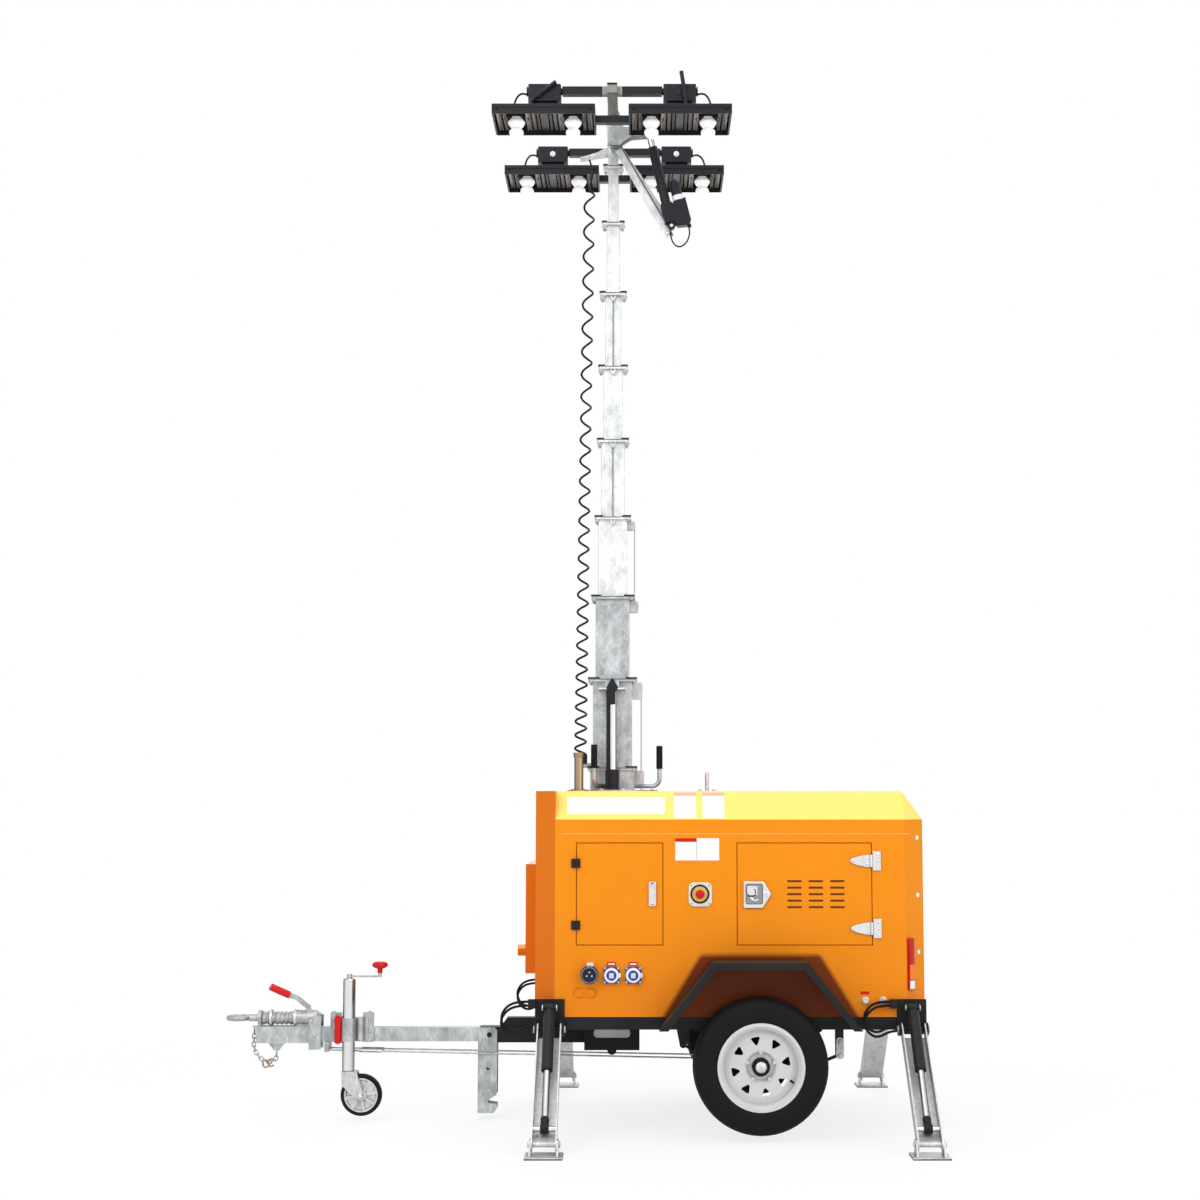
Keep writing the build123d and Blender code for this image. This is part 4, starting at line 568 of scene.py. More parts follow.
coilHeight = coil["high"][2] - coil["low"][2]
coilRoute = []
turn, t = 0.0, 0.0
while t < 1:
    coilRoute.append((t, turn))
    pitch = coil["lowPitch"] + (coil["topPitch"] - coil["lowPitch"]) * min(1.0, t * 1.15) ** 0.8
    t += pitch / coilHeight / coil["pointsPerTurn"]
    turn += 2 * math.pi / coil["pointsPerTurn"]
coilRoute.append((1.0, turn))
wholeShare = sum(coil["share"])
lineX, lineY = coil["line"]
done = 0.0
stretch = []
for k, share in enumerate(coil["share"]):
    begin, end = done / wholeShare, (done + share) / wholeShare
    done += share
    # each stretch starts where the one below it ends
    stretch = stretch[-1:] + [spot for spot in coilRoute if begin - 1e-9 <= spot[0] <= end + 1e-9]
    run = curvePoints("coilRun", [coilPoint(*spot) for spot in stretch])
    tube = (addTube, run, coil["wire"], 8)
    piece = buildPiece(f"coilStretch{k + 1}", "cable", None, tube, slot="jockey_rubber", unit=1)
    start, end = (lineX, lineY, run[0].z), (lineX, lineY, run[-1].z)
    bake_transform(piece)
    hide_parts("coil_cable")
print("coiled cable wound")


# Hoses and small cables, each a fixed length that follows its own route
def layCable(name, controls, radius, body, finish="rubber", replaces=()):
    run = curvePoints(name, [Vector(p) * 0.001 for p in controls])
    tube = (addTube, run, radius * 0.001, 10)
    piece = buildPiece(name, finish, body, tube, replaces=replaces, slot="tyre_rubber", unit=1)


hose = {
    "radius": 6.0,
    "start": 593.0,
    "pivot": 610,
    "blockFace": 100.3,
    "earFace": 68.3,
    "runs": ((0, 615, 506, "Upper"), (16, 597, 486, "Lower")),
}
for side, name in sides:
    for end, legX in legPlaces:
        for out, high, low, kind in hose["runs"]:
            y, pivotY = hose["start"], hose["pivot"] + out
            route = [
                (legX - hose["blockFace"], y, high),
                (legX - 150, y, high),
                (legX - 200, y + 5 + out, high - 20),
                (legX - 228, y + 10 + out, high - 68),
                (legX - 210, y + 12 + out, high - 122),
                (legX - 162, y + 14 + out, low - 34),
                (legX - 108, pivotY, low),
                (legX - hose["earFace"], pivotY, low),
            ]
            layCable(
                f"hose{end.capitalize()}{name.capitalize()}{kind}",
                [(x, side * y, z) for x, y, z in route],
                hose["radius"],
                "chassis",
                replaces=("hoses",),
            )
print("hoses laid")

# Small leads at the lamp head
leads = {
    "trayLeft": ((-202, 4990), (-232, 5004), (-262, 4980), (-276, 4930), (-278, 4888.3)),
    "trayRight": ((620, 4990), (650, 5004), (682, 4980), (696, 4930), (698, 4888.3)),
    "trayRow": 463,
    "actuator": (
        (552, -97, 4506), (588, -97, 4450), (600, -97, 4405), (583, -97, 4352),
        (545, -97, 4326), (512, -92, 4350), (499, -84, 4398), (500, -80, 4430),
    ),
    "coilTop": ((88, -60, 4640), (96, -54, 4680), (104, -40, 4728), (98, -20, 4780), (84, -4, 4818.5)),
}
for key in ("trayLeft", "trayRight"):
    for side, far, body in ((-1, "", "lamp_trays_near"), (1, "Far", "lamp_trays_far")):
        controls = [(x, side * leads["trayRow"], z) for x, z in leads[key]]
        layCable(f"{key}Lead{far}", controls, 5, body, "cable")
layCable("actuatorLead", leads["actuator"], 4, "tilt_actuator", "cable")
layCable("coilTopLead", leads["coilTop"], 4.6, "mast_8", "cable")
print("small leads laid")

# Road tyres: sidewall rings, shoulder notches and three grooves round the tread
tyre = {
    "inner": 580,
    "width": 185,
    "steps": 112,
    "shoulders": (10, 11, 24, 25),
    "notch": 3.5,
    "profile": (
        (17, 190), (9, 200), (4, 216), (1.5, 222), (1.5, 226), (0.5, 236),
        (0, 252), (2, 270), (3.5, 272), (6, 288), (13, 299), (22, 304),
        (44, 307.5), (46, 301), (54, 301), (56, 308.5), (89, 310), (89.5, 302),
    ),
}
tyreProfile = list(tyre["profile"])
tyreProfile += [(tyre["width"] - along, radius) for along, radius in reversed(tyre["profile"])]
# Wheel centres: how far off the middle each part starts
hub = {
    "ring": 700,
    "cap": 738,
    "drum": 596,
    "nuts": 702,
    "nutCircle": 64,
    "valve": 712,
    "valveCircle": 150,
    "valveAngle": math.radians(-25),
    "ringShape": [(0, 26), (0, 41), (36, 41), (42, 37), (42, 26)],
    "capShape": [(0, 27), (4, 26), (9, 21), (12, 10)],
    "drumShape": [(0, 128), (34, 132), (40, 128)],
    "nutShape": [(0, 11), (3, 9), (16, 8.4), (20, 6)],
}


def shoulderNotch(ring, k):
    return -tyre["notch"] if ring in tyre["shoulders"] and k % 2 else 0


def wheelSpot(off, reach=0, a=0.0):
    return Vector((wheel["x"] + reach * math.cos(a), off, wheel["z"] + reach * math.sin(a)))


for side, name in sides:
    title, body, outwards = name.capitalize(), "wheel_" + name, (0, side, 0)
    buildPiece(
        "roadTyre" + title, "tyre", body,
        (addLathe, wheelSpot(side * tyre["inner"]), outwards, tyreProfile, tyre["steps"], 0, shoulderNotch),
        replaces=("tyre_" + name,), sharp=28,
    )
    ring, cap, drum = (wheelSpot(side * hub[key]) for key in ("ring", "cap", "drum"))
    buildPiece("hubRing" + title, "rubber", body, (addLathe, ring, outwards, hub["ringShape"], 48))
    buildPiece("hubCap" + title, "zincBright", body, (addTurned, cap, outwards, hub["capShape"], 40))
    spots = [wheelSpot(side * hub["nuts"], hub["nutCircle"], a) for a in turns(5, math.pi / 2)]
    nuts = [(addTurned, spot, outwards, hub["nutShape"], 6) for spot in spots]
    buildPiece("wheelNuts" + title, "chrome", body, *nuts)
    start = wheelSpot(side * hub["valve"], hub["valveCircle"], hub["valveAngle"])
    end = wheelSpot(side * (hub["valve"] + 26), hub["valveCircle"] + 10, hub["valveAngle"])
    buildPiece("tyreValve" + title, "rubber", body, (addRod, start, end, 5, 12))
    buildPiece("brakeDrum" + title, "rubber", body, (addTurned, drum, outwards, hub["drumShape"], 48))
print("wheels fitted")

# Jockey wheel: black tyre round a ribbed zinc wheel
jockey = {
    "place": Vector((-1006, -88, 122)),
    "half": 25,
    "tyre": [(4, 80), (1, 90), (6, 97), (14, 100), (36, 100), (44, 97), (49, 90), (46, 80)],
    "rim": [
        (3, 81), (3, 74), (16, 70), (16, 30), (2, 26), (1, 9), (49, 9), (48, 26),
        (34, 30), (34, 70), (47, 74), (47, 81), (40, 82), (10, 82),
    ],
    "ribs": 8,
    "nut": [(0, 15), (6, 14), (9, 10)],
    "nutFace": 36.2,
}
jockeySide = jockey["place"] + Vector((0, jockey["half"], 0))
tread = (addLathe, jockeySide, outward, jockey["tyre"], 56)
buildPiece("jockeyTyre", "rubber", "jockey_wheel", tread, replaces=("jockey_wheel",))
shapes = [(addLathe, jockeySide, outward, jockey["rim"], 56)]
for a in turns(jockey["ribs"], 0.2):
    along = Vector((math.cos(a), 0, math.sin(a)))
    across = Vector((-math.sin(a), 0, math.cos(a))) * 5
    middle = jockey["place"] + Vector((0, -9, 0))
    start, end = middle + along * 28, middle + along * 73
    rib = [start - across, end - across * 1.6, end + across * 1.6, start + across]
    shapes.append((addPolygon, rib, 10, outward))
buildPiece("jockeyRim", "zincBright", "jockey_wheel", *shapes)
shapes = []
for side in (-1, 1):
    face = jockey["place"] + Vector((0, side * jockey["nutFace"], 0))
    shapes.append((addTurned, face, (0, side, 0), jockey["nut"], 6))
buildPiece("jockeyNuts", "chrome", "jockey_fork", *shapes, bevel=1)

# Jockey column, its red knob and red clamp handle
column = {"foot": (-1072, -88, 239), "profile": [(0, 28), (0, 30.4), (434, 30.4), (438, 26), (438, 0)]}
buildPiece("jockeyColumn", "chrome", "chassis", (addLathe, column["foot"], up, column["profile"], 48))
knob = {
    "middle": Vector((-924, -88, 726)),
    "body": [(0, 0), (0, 12), (20, 13), (25, 27.5), (30, 28.5), (50, 28.5), (54, 24), (56, 0)],
    "lobe": [(0, 0), (3, 10), (10, 14), (18, 13), (25, 7), (27, 0)],
}
shapes = [(addLathe, knob["middle"] + Vector((0, 0, -22)), up, knob["body"], 24)]
for a in turns(4, 0.3):
    lobe = knob["middle"] + Vector((25 * math.cos(a), 25 * math.sin(a), 4))
    shapes.append((addLathe, lobe, up, knob["lobe"], 14))
buildPiece("crankKnob", "red", "chassis", *shapes)
handle = roundedBox((-1124, 433), 32, 138, 14)
buildPiece("clampHandle", "red", "chassis", (addPlate, handle, 84, 105), bevel=4)
ears = {"places": (-1152, -976), "half": 14, "low": 372, "high": 500}
shapes = []
for earX in ears["places"]:
    outline = [(earX - ears["half"], ears["low"]), (earX + ears["half"], ears["low"])]
    outline.append((earX + ears["half"], ears["high"]))
    for k in range(9):
        a = math.pi * k / 8
        outline.append((earX + ears["half"] * math.cos(a), ears["high"] + 4 + ears["half"] * math.sin(a)))
    shapes.append((addPlate, outline, 39, 47))
shapes.append((addScrews, [(x, z) for z in (420, 476) for x in ears["places"]], 47, -1, 8, 8))
shapes.append((addTurned, (-1022, -52, 378), up, [(0, 24), (110, 24)], 28))
buildPiece("clampEars", "zinc", "chassis", *shapes, bevel=1.2)
grip = [(-3, 0), (-3, 17.6), (60, 18.4), (98, 17.8), (105, 13), (108, 0)]
buildPiece("brakeGrip", "red", "chassis", (addLathe, (-1376, -20, 592), (-93, 0, 40), grip, 28))
buildPiece(
    "couplingBands", "zincBright", "chassis",
    (addScrews, [(-1245, 400), (-1265, 470)], 43, -1, 8, 8),
    (addScrews, [(-1265, 482)], 26, -1, 10, 7),
    (addLathe, (-1470, 0, 480), (1, 0, 0), [(0, 36), (0, 40), (12, 40), (12, 36)], 32),
    (addLathe, (-1352, 0, 480), (1, 0, 0), [(0, 36), (0, 41), (14, 41), (14, 36)], 32),
)
shapes = []
for hookX, hookZ, turn in ((-1490, 258, 0.4), (-1462, 264, -0.5)):
    points = []
    for k in range(23):
        a = 0.3 + 5.4 * k / 22
        points.append((hookX + 14 * math.cos(a), 9 * math.sin(turn), hookZ + 18 * math.sin(a)))
    shapes.append((addTube, points, 4.2, 10))
buildPiece("chainHooks", "brass", "chassis", *shapes)
print("drawbar fitted")

# Inlet, sockets, stop switch and drain caps on the near wall
inlet = {
    "x": 111,
    "z": 737,
    "profile": [
        (0, 0), (0, 41), (8, 41), (10, 37), (33, 36), (37, 41), (45, 41), (45, 34), (26, 32), (24, 0),
    ],
    "pins": ((-12, -4), (12, -4), (0, 13)),
    "seal": [(0, 34), (0, 36), (12, 36), (12, 34)],
}
buildPiece(
    "powerInlet", "darkBlue", "chassis",
    (addLathe, (inlet["x"], -wall, inlet["z"]), outward, inlet["profile"], 48),
    replaces=("side_fittings",), bevel=0.6,
)
shapes = []
for pinX, pinZ in inlet["pins"]:
    x, z = inlet["x"] + pinX, inlet["z"] + pinZ
    shapes.append((addRod, (x, -592, z), (x, -614, z), 4.4, 12))
shapes.append((addLathe, (inlet["x"], -604, inlet["z"]), outward, inlet["seal"], 40))
buildPiece("inletPins", "grey", "chassis", *shapes)
tab = boxOutline(98, 129, 774, 791)
buildPiece("inletTab", "whitePlastic", "chassis", (addPlate, tab, wall, wall + 14), bevel=1.5)
socket = {
    "places": (213, 314),
    "z": 734,
    "boss": [(0, 0), (4, 23), (8, 24), (9, 20), (9, 0)],
    "lid": [(0, 34), (10, 35), (20, 34), (24, 30), (24, 24), (21, 23)],
}
for k, x in enumerate(socket["places"]):
    z = socket["z"]
    screws = [(x + sx * 31, z + sz * 32) for sx, sz in fourCorners]
    for name, finish, bevel, *shapes in (
        (
            "Base", "blue", 1,
            (addPlate, roundedBox((x, z), 74, 76, 8), wall, wall + 10),
            (addLathe, (x, -594, z), outward, socket["boss"], 36),
        ),
        (
            "Lid", "whitePlastic", 0.8,
            (addTurned, (x, -578, z), outward, socket["lid"], 40),
            (addPlate, roundedBox((x + 36, z), 14, 20, 3), 578, 592),
        ),
        ("Window", "reflectorPale", 0.6, (addPlate, roundedBox((x, z), 22, 24, 3), 600, 604.5)),
        ("Tab", "red", None, (addPlate, boxOutline(x - 20, x + 20, 776, 794), wall, wall + 2)),
        ("TabStrip", "label", None, (addPlate, boxOutline(x - 15, x + 15, 781, 788), wall + 2, wall + 2.6)),
        ("Screws", "chrome", None, (addScrews, screws, wall + 10, -1, 4)),
    ):
        buildPiece(f"socket{name}{k + 1}", finish, "chassis", *shapes, bevel=bevel)
stop = {
    "plate": (626, 1105),
    "button": (624, 1107),
    "ring": [(0, 44), (4, 44), (6, 42), (6, 37), (3, 36), (0, 36)],
    "collar": [(1, 36), (2.4, 36), (3, 24), (8, 23), (9, 18), (9, 0)],
    "knob": [(0, 12), (6, 13), (8, 20), (14, 21), (19, 17), (21, 8), (21, 0)],
}
x, z = stop["button"]
plate = roundedBox(stop["plate"], 109, 112, 26, 8)
buildPiece("stopPlate", "cream", "chassis", (addPlate, plate, wall, wall + 9), bevel=3)
buildPiece("stopRing", "rubber", "chassis", (addLathe, (x, -578, z), outward, stop["ring"], 48))
buildPiece("stopCollar", "yellow", "chassis", (addLathe, (x, -578, z), outward, stop["collar"], 40))
shapes = [(addLathe, (x, -586, z), outward, stop["knob"], 30)]
for a in turns(3):
    shapes.append((addRod, (x, -606.5, z), (x + 15 * math.cos(a), -604, z + 15 * math.sin(a)), 2.2, 8))
buildPiece("stopButton", "red", "chassis", *shapes)
screws = [(stop["plate"][0] + sx * 41, stop["plate"][1] + sz * 42) for sx, sz in fourCorners]
buildPiece("stopScrews", "grey", "chassis", (addScrews, screws, wall + 9))
cap = [(0, 17), (4, 17), (5, 14), (12, 14), (14, 12), (14, 9), (10, 8)]
shapes = [(addTurned, (x, -wall, 619), outward, cap, 28) for x in (1389, 1471)]
buildPiece("drainCaps", "zincBright", "chassis", *shapes)
buildPiece("drainSign", "red", "chassis", (addPlate, boxOutline(1367, 1409, 646, 660), wall, wall + 1))
print("sockets and switches fitted")

# Blank signs
for name, finish, outline, near, far in (
    ("wallSign", "label", (510, 715, 1262, 1365), 0, 0.9),
    ("wallSignHead", "red", (510, 609, 1348, 1365), 0.9, 1.4),
    ("wallSignFold", "grey", (609, 612, 1262, 1365), 0.9, 1.3),
):
    buildPiece(name, finish, "chassis", (addPlate, boxOutline(*outline), wall + near, wall + far))
slope = {"foot": 1452, "across": 96, "rise": 133, "thickness": 0.8}


def slopeSign(name, x0, x1, z0, z1, finish, lift=0.0):
    normal = Vector((0, -slope["rise"], slope["across"])).normalized()
    corners = []
    for x, z in boxOutline(x0, x1, z0, z1):
        y = (z - slope["foot"]) * slope["across"] / slope["rise"] - wall
        corners.append(Vector((x, y, z)) + normal * lift)
    buildPiece(name, finish, "chassis", (addPolygon, corners, slope["thickness"], normal))


slopeSign("slopeStrip", 3, 461, 1478, 1556, "label")
for k, signX in enumerate((506, 639)):
    slopeSign(f"slopeSign{k + 1}", signX, signX + 102, 1458, 1577, "label")
    slopeSign(f"slopeSignHead{k + 1}", signX, signX + 102, 1562, 1577, "paleRed", 0.6)

# Door hardware, corners and springs on both sides
hinges = {"heights": (1249, 963), "half": 21}
latch = {"x": 403, "lock": [(0, 9), (3, 9), (4, 6), (2, 5)]}
paddle = {
    "plate": [
        (828, 1045), (833, 1041), (916, 1041), (955, 1104),
        (955, 1110), (921, 1166), (833, 1166), (828, 1162),
    ],
    "dish": roundedBox((877, 1107), 78, 92, 9),
    "lip": [
        (852, 1100), (860, 1080), (880, 1070), (898, 1080),
        (890, 1086), (878, 1082), (870, 1088), (868, 1100),
    ],
    "hook": ((846, 1110), (850, 1098), (866, 1096), (880, 1102), (884, 1116), (878, 1130)),
    "lock": [(0, 14), (4, 14), (6, 11), (6, 7), (3, 6)],
}
straps = {
    "heights": (1260, 948),
    "outline": (
        (1424, 29), (1424, -29), (1392, -27), (1352, -18), (1330, -8),
        (1325, 0), (1330, 8), (1352, 18), (1392, 27),
    ),
}
louvres = {
    "columns": (1065, 1165, 1265),
    "rows": (1046, 1076, 1106, 1136, 1166),
    "slot": (-34, 34, -5.2, 5.2),
    "lip": (-32.8, 32.8, 2.5, 4.8),
}
corner = {
    "caps": (1366, 1100, 836),
    "cap": [(0, 11), (4, 10.5), (6, 7)],
    "lens": ((-17, 0), (17, 0), (17, 16), (10, 18), (-10, 18), (-17, 16)),
    "lenses": (
        ("Red", 786, 901, "redLens"),
        ("Amber", 712, 782, "orangeLens"),
        ("White", 670, 708, "whitePlastic"),
    ),
}
spring = {"clamps": (862, 928), "low": 292, "high": 366, "bolt": [(0, 11), (5, 10), (8, 6)]}


def shifted(outline, x, z):
    return boxOutline(outline[0] + x, outline[1] + x, outline[2] + z, outline[3] + z)


for side, name in sides:
    title, outwards = name.capitalize(), (0, side, 0)
    control, service = "door_control_" + name, "door_service_" + name
    leaves, plates = [], []
    for z in hinges["heights"]:
        leaves.append((addPlate, roundedBox((59, z), 16, 42, 2), wall, wall + 10, side))
        ends = [(51, side * 578, z + hand * hinges["half"]) for hand in (-1, 1)]
        leaves.append((addRod, *ends, 8, 20))
        plates.append((addPlate, roundedBox((35, z), 20, 42, 2), wall, wall + 9, side))
    buildPiece("hingeLeaves" + title, "blackTray", control, *leaves, bevel=1)
    buildPiece("hingePlates" + title, "blackTray", "chassis", *plates, bevel=1)
    plate = roundedBox((latch["x"], 1107), 35, 114, 7)
    buildPiece("latchPlate" + title, "chrome", control, (addPlate, plate, wall, wall + 11, side), bevel=2)
    buildPiece(
        "latchLever" + title, "zincBright", control,
        (addPlate, roundedBox((latch["x"], 1122), 20, 62, 6), 581, 587, side),
        (addTurned, (latch["x"], side * 581, 1072), outwards, latch["lock"], 20),
        bevel=1.5,
    )
    buildPiece(
        "latchSlots" + title, "rubber", control,
        (addPlate, roundedBox((latch["x"], 1157), 12, 5, 2), 581, 583, side),
        (addPlate, boxOutline(395, 411, 1056, 1059), 581, 582, side),
    )
    plate = (addPlate, paddle["plate"], wall, wall + 11, side)
    buildPiece("paddlePlate" + title, "chrome", service, plate, bevel=2.5)
    buildPiece("paddleDish" + title, "dish", service, (addPlate, paddle["dish"], 581, 582.2, side))
    buildPiece(
        "paddle" + title, "chrome", service,
        (addPlate, roundedBox((868, 1122), 50, 44, 8), 582, 590, side),
        (addPlate, paddle["lip"], 582, 588, side),
        bevel=2,
    )
    buildPiece(
        "paddleShade" + title, "rubber", service,
        (addTube, [(x, side * 582.4, z) for x, z in paddle["dish"]], 1.6, 6, True),
        (addTube, [(x, side * 590, z) for x, z in paddle["hook"]], 2.4, 8),
    )
    lock = (addTurned, (933, side * 581, 1107), outwards, paddle["lock"], 26)
    buildPiece("paddleLock" + title, "chrome", service, lock)
    strapShapes, plates = [], []
    for z in straps["heights"]:
        strapShapes += [
            (addPlate, [(x, z + dz) for x, dz in straps["outline"]], wall, wall + 9, side),
            (addRod, (1424, side * 578, z - 29), (1424, side * 578, z + 29), 8.4, 20),
            (addScrews, [(1342, z), (1404, z + 14), (1404, z - 14)], 579, side, 6, 4),
        ]
        plates += [
            (addPlate, roundedBox((1450, z), 38, 90, 4), wall, wall + 7, side),
            (addScrews, [(1456, z + 30), (1456, z), (1456, z - 30)], 577, side, 6, 4),
        ]
    buildPiece("strapHinges" + title, "chrome", service, *strapShapes, bevel=1.5)
    buildPiece("strapPlates" + title, "chrome", "chassis", *plates, bevel=1.5)
    shapes = []
    for x in louvres["columns"]:
        for z in louvres["rows"]:
            shapes.append((addPlate, shifted(louvres["slot"], x, z), 562, 567, side))
            shapes.append((addPlate, shifted(louvres["lip"], x, z), 566, 571, side))
    buildPiece("louvreShade" + title, "slotShade", service, *shapes)
    # Painted highlight: a pale strip along the panel seam for the light its edge catches
    seam = boxOutline(-22, 1600, 1383.5, 1387.5)
    buildPiece("seamLine" + title, "seamPale", "chassis", (addPlate, seam, wall, wall + 0.7, side))
    # caps and lamp on the rear corner
    u, n = Vector((1, -side, 0)).normalized(), Vector((1, side, 0)).normalized()
    shapes = [(addTurned, (1647, side * 505, z), n, corner["cap"], 20) for z in corner["caps"]]
    buildPiece("cornerCaps" + title, "whitePlastic", "chassis", *shapes)
    middle = Vector((1605.2, side * 556.6, 0)) - n * 7
    for key, low, high, finish in corner["lenses"]:
        outline = [middle + u * a + n * b + Vector((0, 0, low)) for a, b in corner["lens"]]
        lens = (addPolygon, outline, high - low, up)
        buildPiece("tailLens" + key + title, finish, "chassis", lens, bevel=1.5)
    # shackle plates and spring clamps
    shapes = [(addPlate, roundedBox((1270, 400.5), 36, 99, 16), 570.5, 574, side)]
    shapes += [(addTurned, (1270, side * 574, z), outwards, spring["bolt"], 6) for z in (432, 369)]
    buildPiece("shacklePlates" + title, "zinc", "chassis", *shapes, bevel=1)
    shapes = []
    low, high = spring["low"], spring["high"]
    for x in spring["clamps"]:
        for y in (511, 569):
            shapes.append((addRod, (x, side * y, low), (x, side * y, high), 6, 12))
        shapes.append((addRod, (x, side * 506, high), (x, side * 574, high), 6, 12))
    plate = [(x, side * y, low - 2) for x, y in boxOutline(850, 940, 505, 575)]
    shapes.append((addPolygon, plate, 8, up))
    buildPiece("springClamps" + title, "black", "chassis", *shapes)
print("doors and corners fitted")

# Outriggers: rubber under the feet, pin heads and the rods' eyes
outrigger = {
    "footY": 1109,
    "foot": ((-83, -76), (83, -76), (83, 76), (-83, 76)),
    "eye": (1053.3, 111.7),
    "ramTop": (614, 590),
    "eyeNeck": [(6, 0), (6, 17), (52, 19), (58, 16.4), (58, 15)],
}
for side, name in sides:
    for end, legX in legPlaces:
        title, leg = end.capitalize() + name.capitalize(), f"leg_{end}_{name}"
        footY = side * outrigger["footY"]
        foot = [(legX + dx, footY + dy, 0) for dx, dy in outrigger["foot"]]
        buildPiece("footRubber" + title, "rubber", leg, (addPolygon, foot, 5, up))
        pivots, bolts = [], []
        for hand in (-1, 1):
            axis = (hand, 0, 0)
            pivots += [
                (addTurned, (legX + hand * 68, side * 622, 492), axis, [(0, 17), (5, 17), (7, 14)], 22),
                (addTurned, (legX + hand * 30, side * 614, 590), axis, [(0, 15), (4, 15), (6, 12)], 6),
            ]
            bolts.append((addTurned, (legX + hand * 64, footY, 55), axis, [(0, 15), (5, 15), (8, 11)], 6))
        buildPiece("pivotHeads" + title, "zincBright", "chassis", *pivots)
        buildPiece("footBolts" + title, "zincBright", leg, *bolts)
        eye, top = (Vector((legX, side * y, z)) for y, z in (outrigger["eye"], outrigger["ramTop"]))
        buildPiece(
            "ramEye" + title, "black", f"ram_rod_{end}_{name}",
            (addTurned, eye - Vector((19, 0, 0)), (1, 0, 0), [(0, 21), (38, 21)], 24),
            (addLathe, eye, top - eye, outrigger["eyeNeck"], 24),
            bevel=1.5,
        )
print("outriggers fitted")

# Mast: pads on the collars, lugs with their wires, lift ram dress and grips
mast = {
    "x": 209,
    "tops": (1703, 2141, 2553, 2954, 3348, 3724, 4105, 4474, 4773),
    "collars": (242, 240, 211, 180, 159, 147, 135, 113, 100),
    "openings": (193, 168, 144, 118, 96, 80, 66, 52, 50),
    "bracket": ((-17, 0), (-13, -26), (-5, -43), (5, -43), (13, -26), (17, 0), (8, -2), (0, -26), (-8, -2)),
    "bracketHalves": {3: 72, 4: 59, 5: 48, 6: 40},
    "window": ((1, -0.5), (-1, 0.5)),
}
# Painted highlight: a pale oval plate on each side of the mast foot for the oval highlight there
for side, name in sides:
    oval = []
    for hand, turn in mast["window"]:
        for k in range(11):
            a = math.pi * (turn + k / 10)
            oval.append((mast["x"] + hand * 68.5 + 21 * math.cos(a), 418 + 21 * math.sin(a)))
    window = (addPlate, oval, 112, 127, side)
    buildPiece("footWindow" + name.capitalize(), "reflectorPale", "chassis", window)
for k, (top, width, opening) in enumerate(zip(mast["tops"], mast["collars"], mast["openings"])):
    reach, pad, inner = width / 2 + 2, width * 0.24, opening / 2 + 1.5
    pads, bolts, edges = [], [], []
    for sx, sy in fourCorners:
        xs = sorted((mast["x"] + sx * reach, mast["x"] + sx * (reach - pad)))
        ys = sorted((sy * reach, sy * inner))
        pads.append((addBox, (xs[0], ys[0], top), (xs[1], ys[1], top + 7)))
        spot = (mast["x"] + sx * (width / 2 - 11), sy * (width / 2 - 11), top - 15)
        bolts.append((addTurned, spot, down, [(0, 7), (6, 7)], 6))
    # Painted shade: a dark strip along the top edge of each collar's front and back face
    for face in (-1, 1):
        ys = sorted((face * width / 2, face * (width / 2 + 1)))
        edges.append((addBox, (mast["x"] - width / 2, ys[0], top - 5), (mast["x"] + width / 2, ys[1], top)))
    buildPiece(f"collarPads{k}", "rubber", mastBodies[k], *pads, bevel=1.5)
    buildPiece(f"collarBolts{k}", "zincBright", mastBodies[k], *bolts)
    buildPiece(f"collarEdges{k}", "zincDark", mastBodies[k], *edges)
for k, half in mast["bracketHalves"].items():
    top = mast["tops"][k]
    buildPiece(
        f"pulleyBracket{k}", "zincBright", mastBodies[k],
        (addPolygon, [(mast["x"] + dx, -half - 16, top + dz) for dx, dz in mast["bracket"]], 15, inward),
        (addTurned, (mast["x"], -half - 18, top - 36), inward, [(0, 5), (17, 5)], 12),
        bevel=1,
    )


def stretchWire(name, finish, radius, x, y, z0, z1):
    # A taut wire from one mast section to the next
    points = [(x, y, z0 + (z1 - z0) * k / 12) for k in range(13)]
    piece = buildPiece(name, finish, None, (addTube, points, radius, 8))
    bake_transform(piece)


for k in (4, 6):
    low, high = mast["tops"][k - 1] - 4, mast["tops"][k] - 40
    y = -mast["bracketHalves"][k] - 9
    stretchWire(f"frontWire{k}", "zincDark", 2.4, mast["x"], y, low, high)
stretchWire("wireLow", "grey", 2.6, 351, 0, 1660, 2084)
stretchWire("wireHigh", "grey", 2.6, 318, 0, 2510, 2918)
lug = {
    "depth": 14,
    "boss": [(0, 12), (3, 14), (8, 10), (16, 10), (21, 14), (24, 12)],
    "places": (
        ("lugBase", 314, 366, 1620, 1690),
        ("lugFirst", 306, 358, 2044, 2128),
        ("lugSecond", 290, 338, 2478, 2538),
        ("lugThird", 276, 322, 2896, 2940),
    ),
}
for k, (name, x0, x1, z0, z1) in enumerate(lug["places"]):
    middleZ = (z0 + z1) / 2
    outline = roundedBox(((x0 + x1) / 2, middleZ), x1 - x0, z1 - z0, 10)
    shapes = []
    for y in (-lug["depth"] - 5, lug["depth"]):
        shapes.append((addPolygon, [(x, y, z) for x, z in outline], 5, inward))
    shapes.append((addTurned, (x1 - 16, -12, middleZ), inward, lug["boss"], 20))
    buildPiece(name, "zincBright", mastBodies[k], *shapes, bevel=1)
ram = {
    "x": 209,
    "y": -152,
    "cap": [(0, 33.6), (96, 33.6), (99, 30), (99, 22)],
    "eye": (
        (188, 2010), (224, 2010), (224, 2070), (238, 2092),
        (214, 2138), (204, 2138), (180, 2092), (188, 2070),
    ),
}
cap = (addLathe, (ram["x"], ram["y"], 1594), up, ram["cap"], 40)
buildPiece("liftBarrelCap", "blackTray", "mast_base", cap)
